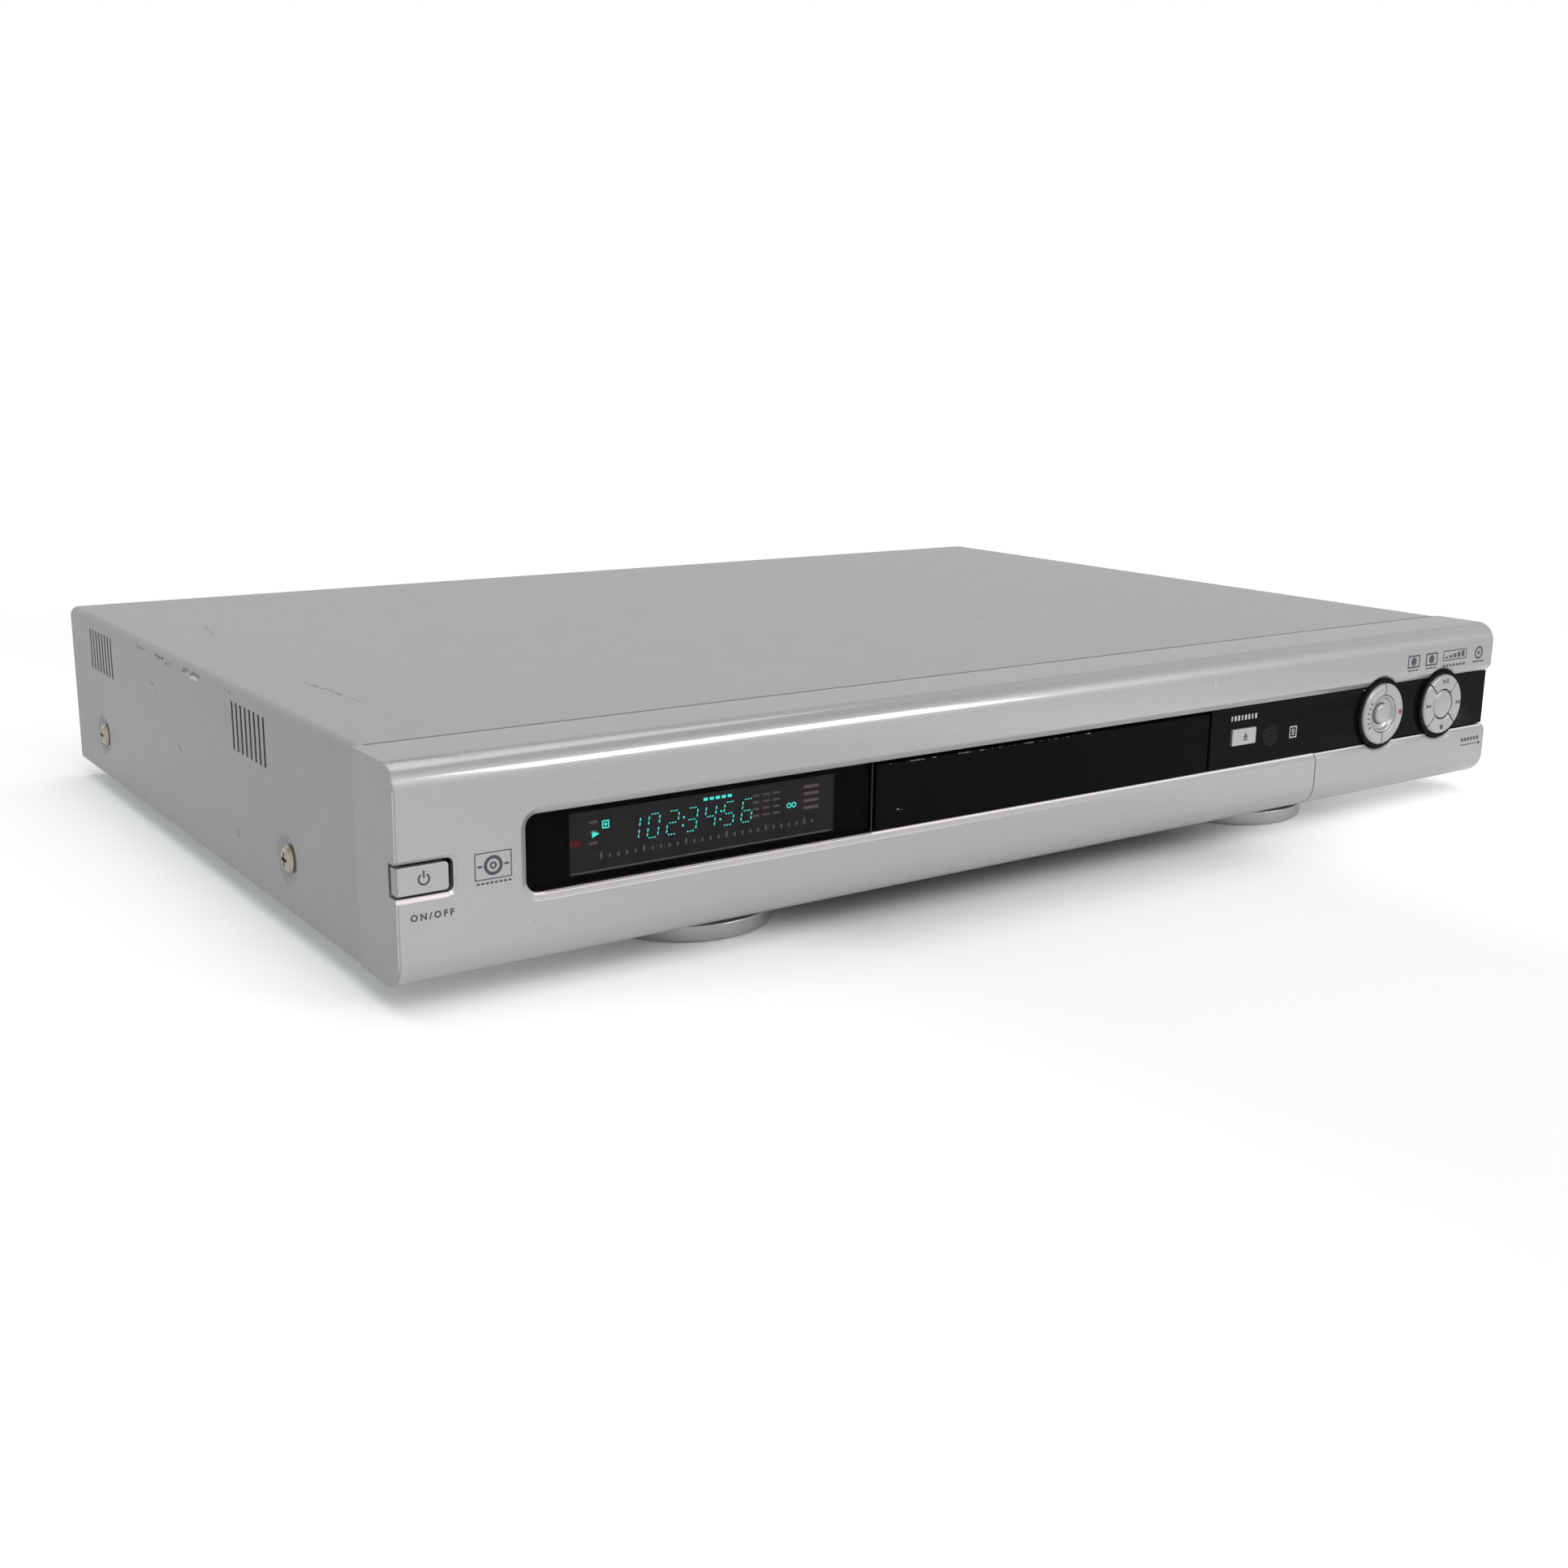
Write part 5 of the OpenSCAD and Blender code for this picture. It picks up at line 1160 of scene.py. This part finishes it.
class PLAYER_OT_prints(bpy.types.Operator):
    """Prints the plain pictograms on the mouldings and buttons"""

    bl_idname = "player.prints"
    bl_label = "Prints"

    def power_print(self):
        x, y = POWER_SIGN
        shape = Stencil()
        shape.ring(POWER_SIGN, 1.35, 0.48, math.pi / 2 + POWER_OPENING,
                   math.tau - 2 * POWER_OPENING, 36)
        shape.bar((x, y + 0.3), (x, y + 2.15), 0.46)
        key_print("power_sign", shape, "power_button")
        label = Stencil()
        label.words("ON/OFF", POWER_LABEL, 2.3, 1.5)
        printed("power_label", label)

    def disc_sign(self):
        """A framed disc over a row of dashes."""
        low, high = DISC_FRAME
        x, y = (low[0] + high[0]) / 2, (low[1] + high[1]) / 2
        shape = Stencil()
        shape.outline(low, high, 0.26)
        shape.ring((x, y), 2.1, 0.85)
        shape.ring((x, y), 0.7, 0.5, steps=20)
        for side in (-1, 1):
            shape.bar((x + side * 3.0, y), (x + side * 4.2, y), 0.55)
        shape.dashes((low[0] + 0.3, 24.2), 1.22, 0.8, 0.5, 8)
        printed("disc_sign", shape)

    def format_signs(self):
        """Four small generic signs above the right dial."""
        shape = Stencil()
        for x in (168.6, 178.8):
            shape.outline((x - 3.1, 44.6), (x + 3.1, 48.6), 0.55)
            shape.disc((x, SIGN_ROW), 1.5, 24)
            shape.dashes((x - 2.9, SIGN_DASHES), 2.1, 1.6, 0.5, 3)
        shape.outline((185.6, 45.4), (199.2, 48.8), 0.35)
        for index in range(5):
            left = 186.8 + index * 2.4
            shape.patch((left, 46.1), (left + 1.6, 46.3 + 0.4 * (index + 1)))
        shape.dashes((185.8, SIGN_DASHES), 1.95, 1.2, 0.9, 7)
        shape.ring((206.8, SIGN_ROW), 2.0, 0.75, steps=28)
        shape.disc((206.8, SIGN_ROW), 0.7, 16)
        shape.bar((203.4, SIGN_DASHES), (210.4, SIGN_DASHES), 0.5)
        printed("format_signs", shape)

    def flap_arrow(self):
        """A long arrow under a row of dashes, which rides with the flap."""
        shape = Stencil()
        shape.bar((201.1, 12.3), (212.2, 12.3), 0.35)
        shape.arrow((212.4, 12.3), 0.9)
        shape.dashes((201.4, 14.3), 1.85, 1.2, 1.3, 6)
        printed("flap_arrow", shape, body="flap")

    def eject_print(self):
        x, y = middle_of("eject_button")
        shape = Stencil()
        shape.disc((x + 0.5, y + 0.1), 1.25, 3)
        shape.bar((x - 0.6, y - 1.05), (x + 1.6, y - 1.05), 0.42)
        key_print("eject_sign", shape, "eject_button")

    def panel_prints(self):
        """Pale signs and the dotted receiver window on the black panel."""
        shape = Stencil()
        for index in range(8):
            x = 76.45 + index * 1.66
            shape.bar((x, 34.7), (x, 36.4), 0.95 if index % 3 else 0.6)
        shape.outline((106.0, 26.0), (109.2, 29.6), 0.42)
        shape.bar((106.9, 27.0), (108.3, 27.0), 0.45)
        shape.ring((107.6, 28.2), 0.55, 0.36, steps=20)
        printed("panel_signs", shape, PANEL_DEPTH, finish="ink_pale")
        dots = Stencil()
        for ring in range(1, 5):
            count = ring * 7
            for index in range(count):
                angle = index * math.tau / count
                dots.disc((RECEIVER[0] + DOT_PITCH * ring * math.cos(angle),
                           RECEIVER[1] + DOT_PITCH * ring * math.sin(angle)), 0.14, 6)
        printed("receiver_dots", dots, PANEL_DEPTH, finish="ink_dim")

    def right_dial(self, x, y):
        """Play, stop and skip signs on the ring segments."""
        play = Stencil()
        head = y + DIAL_RADIUS
        play.arrow((x - 0.9, head), 1.05)
        for side in (0.7, 1.5):
            play.bar((x + side, head - 0.85), (x + side, head + 0.85), 0.42)
        key_print("play_sign", play, "play_button")
        stop = Stencil()
        stop.patch((x - 0.8, y - DIAL_RADIUS - 0.8), (x + 0.8, y - DIAL_RADIUS + 0.8))
        key_print("stop_sign", stop, "stop_button")
        for name, side in (("next", 1), ("previous", -1)):
            skip = Stencil()
            for shift in (-0.7, 0.5):
                skip.arrow((x + side * (DIAL_RADIUS + shift), y), 0.8, side)
            bar = x + side * (DIAL_RADIUS + 1.35)
            skip.bar((bar, y - 0.75), (bar, y + 0.75), 0.36)
            key_print(name + "_sign", skip, name + "_button")

    def left_dial(self, x, y):
        """A red dot on the record side and a fan of short strokes on the other."""
        dot = Stencil()
        dot.disc((x + DIAL_RADIUS + 0.5, y), 0.85, 20)
        key_print("record_sign", dot, "record_button", "ink_red")
        fan = Stencil()
        for index in range(6):
            turn = math.radians(150 + index * 12)
            along = Vector((math.cos(turn), math.sin(turn)))
            middle = Vector((x, y)) + along * (DIAL_RADIUS + 0.2)
            fan.bar(middle - along * 0.65, middle + along * 0.65, 0.5)
        key_print("source_sign", fan, "source_button")

    def execute(self, context):
        self.power_print()
        self.disc_sign()
        self.format_signs()
        self.flap_arrow()
        self.eject_print()
        self.panel_prints()
        right, height = middle_of("enter_button")
        self.right_dial(right, height)
        self.left_dial(middle_of("dial_dish")[0], height)
        return {"FINISHED"}


# Each lamp: place, target, size and colour; its power is a setting
LAMPS = {
    "overhead": ((-0.1, 0.1, 1.3), (0, 0, 0), (1.6, 1.3), (1, 0.98, 0.98)),
    "front": ((1.17, -1.93, 1.0), (0, -0.1, 0.03), (0.86, 0.72), (1, 0.965, 0.97)),
    "fill": ((-0.35, -1.25, 1.35), (0, 0, 0), (1.2, 0.8), (1, 0.985, 0.985)),
}
WHITE = (1, 1, 1, 1)
COOL_AIR = (0.79, 0.96, 1.0, 1)
CLEAR_AIR = (0.98, 0.995, 1.0, 1)
FLOOR_PAINT = (0.93, 0.924, 0.918, 1)
FLOOR_PAINTED_SHADOW = (0.66, 0.645, 0.63, 1)

# Where the sky turns: ray heights to the ceiling, and rays across from cool to clear
CEILING_TURN = (0.5, 0.8)
HUE_TURN = (-0.8, 0.2)

# Of the floor, in metres: where it turns plain white, the ends and width of the painted shadow
# under the front, and where its painted light sets in to the left and to the right
FLOOR_FADE = (0.3, 0.62)
PAINTED_SHADOW_ENDS = (Vector((-0.07, FACE + 0.01, 0)), Vector((0.06, FACE + 0.01, 0)))
PAINTED_SHADOW_WIDTH = 0.045
LEFT_PAINTED_LIGHT = (0.06, 0.2)
RIGHT_PAINTED_LIGHT = (0.05, 0.19)


class PLAYER_OT_stage(bpy.types.Operator):
    """Sets the camera, the lamps, the world and the floor"""

    bl_idname = "player.stage"
    bl_label = "Stage"

    def camera(self, stage):
        eye = Vector(stage.eye)
        ahead = (Vector(stage.target) - eye).normalized()
        side = ahead.cross(Vector((0, 0, 1))).normalized()
        facing = Matrix((side, side.cross(ahead), -ahead)).transposed().to_4x4()
        data = bpy.data.cameras.new("view")
        data.lens = stage.lens
        data.sensor_width = 36
        data.sensor_fit = "HORIZONTAL"
        data.shift_x = stage.shift_x
        data.shift_y = stage.shift_y
        data.clip_start = 0.02
        camera = placed("view", data)
        camera.matrix_world = (Matrix.Translation(eye) @ facing
                               @ Matrix.Rotation(stage.roll, 4, "Z"))
        bpy.context.scene.camera = camera

    def lamp(self, name, power, place, target, size, colour):
        data = bpy.data.lights.new(name, "AREA")
        data.shape = "RECTANGLE"
        data.size, data.size_y = size
        data.energy = power
        data.color = colour
        lamp = placed(name, data)
        lamp.location = place
        facing = (Vector(target) - Vector(place)).to_track_quat("-Z", "Y")
        lamp.rotation_euler = facing.to_euler()

    def world(self, stage):
        """White to the camera and in reflections, and a dimmer, cooler light from all round."""
        world = bpy.data.worlds.new("studio")
        bpy.context.scene.world = world
        world.use_nodes = True
        air = NodeTree(world.node_tree)
        seen = air.seen()
        overhead = air.ramp(air.axis("Z"), *CEILING_TURN, 1.0, stage.ceiling)
        hue = air.tint(air.ramp(air.axis("X"), *HUE_TURN), COOL_AIR, CLEAR_AIR)
        sky = air.node("Background", None, {
            "Color": air.tint(seen, hue, WHITE),
            "Strength": air.ramp(seen, 0.0, 1.0, stage.ambient, overhead)})
        air.node("OutputWorld", None, {"Surface": sky})

    def floor(self, stage):
        """White floor: it takes the shadow near the object, has a painted shadow under the front
        and painted light near both ends, and is plain white far away.
        """
        finish = Finish("floor_white")
        far = finish.across(finish.vector("LENGTH", finish.point, out="Value"), *FLOOR_FADE)
        seen = finish.seen()
        # Painted shadow: a darker floor colour along the front edge, seen only by the camera
        painted_shadow = finish.stroke(*PAINTED_SHADOW_ENDS, PAINTED_SHADOW_WIDTH, feather=1.0)
        near = finish.node("BsdfDiffuse", None, {
            "Color": finish.tint(painted_shadow * finish.ray("Camera"), FLOOR_PAINT, FLOOR_PAINTED_SHADOW)})
        white = finish.node("Emission", None, {
            "Color": WHITE, "Strength": stage.ambient + (1 - stage.ambient) * seen})
        mixed = finish.node("MixShader", None, {0: far, 1: near, 2: white})
        # Painted light: near both ends the floor glows to the camera, in mirrors and through
        # glass, lifting its shadows
        x = finish.axis("X")
        ends = 0.45 * finish.across(-1 * x, *LEFT_PAINTED_LIGHT) + finish.across(x, *RIGHT_PAINTED_LIGHT)
        painted_light = finish.node("Emission", None, {
            "Color": WHITE, "Strength": seen * (1 - far) * ends * stage.painted_light})
        added = finish.node("AddShader", None, {0: mixed, 1: painted_light})
        finish.node("OutputMaterial", None, {"Surface": added})
        form = bmesh.new()
        bmesh.ops.create_grid(form, x_segments=1, y_segments=1, size=stage.floor / 2)
        mesh = mesh_from(form, "floor")
        mesh.materials.append(finish.material)
        placed("floor", mesh)

    def execute(self, context):
        stage = context.scene.player_stage
        self.camera(stage)
        self.world(stage)
        self.floor(stage)
        for name, row in LAMPS.items():
            self.lamp(name, getattr(stage, name), *row)
        context.scene.view_settings.view_transform = "Standard"
        return {"FINISHED"}


OPERATORS = (
    PLAYER_OT_frame_finishes,
    PLAYER_OT_mouldings,
    PLAYER_OT_liners,
    PLAYER_OT_socket_rings,
    PLAYER_OT_buttons,
    PLAYER_OT_feet,
    PLAYER_OT_display,
    PLAYER_OT_prints,
    PLAYER_OT_stage,
)


class PLAYER_PT_panel(bpy.types.Panel):
    """Lists the steps that dress the player"""

    bl_idname = "PLAYER_PT_panel"
    bl_label = "Disc player"
    bl_space_type = "VIEW_3D"
    bl_region_type = "UI"
    bl_category = "Disc player"

    def draw(self, context):
        for name, group in SETTINGS.items():
            column = self.layout.column()
            for key in group.__annotations__:
                column.prop(getattr(context.scene, name), key)
        for operator in OPERATORS:
            self.layout.operator(operator.bl_idname)


def register():
    for name, group in SETTINGS.items():
        bpy.utils.register_class(group)
        setattr(bpy.types.Scene, name, bpy.props.PointerProperty(type=group))
    for item in (*OPERATORS, PLAYER_PT_panel):
        bpy.utils.register_class(item)


def unregister():
    for item in (PLAYER_PT_panel, *reversed(OPERATORS)):
        bpy.utils.unregister_class(item)
    for name, group in SETTINGS.items():
        delattr(bpy.types.Scene, name)
        bpy.utils.unregister_class(group)


def plain(bounds):
    """Bounds as plain numbers."""
    return [[float(number) for number in corner] for corner in bounds]


def main():
    register()
    for operator in OPERATORS:
        group, name = operator.bl_idname.split(".")
        getattr(getattr(bpy.ops, group), name)()


if __name__ == "__main__":
    main()
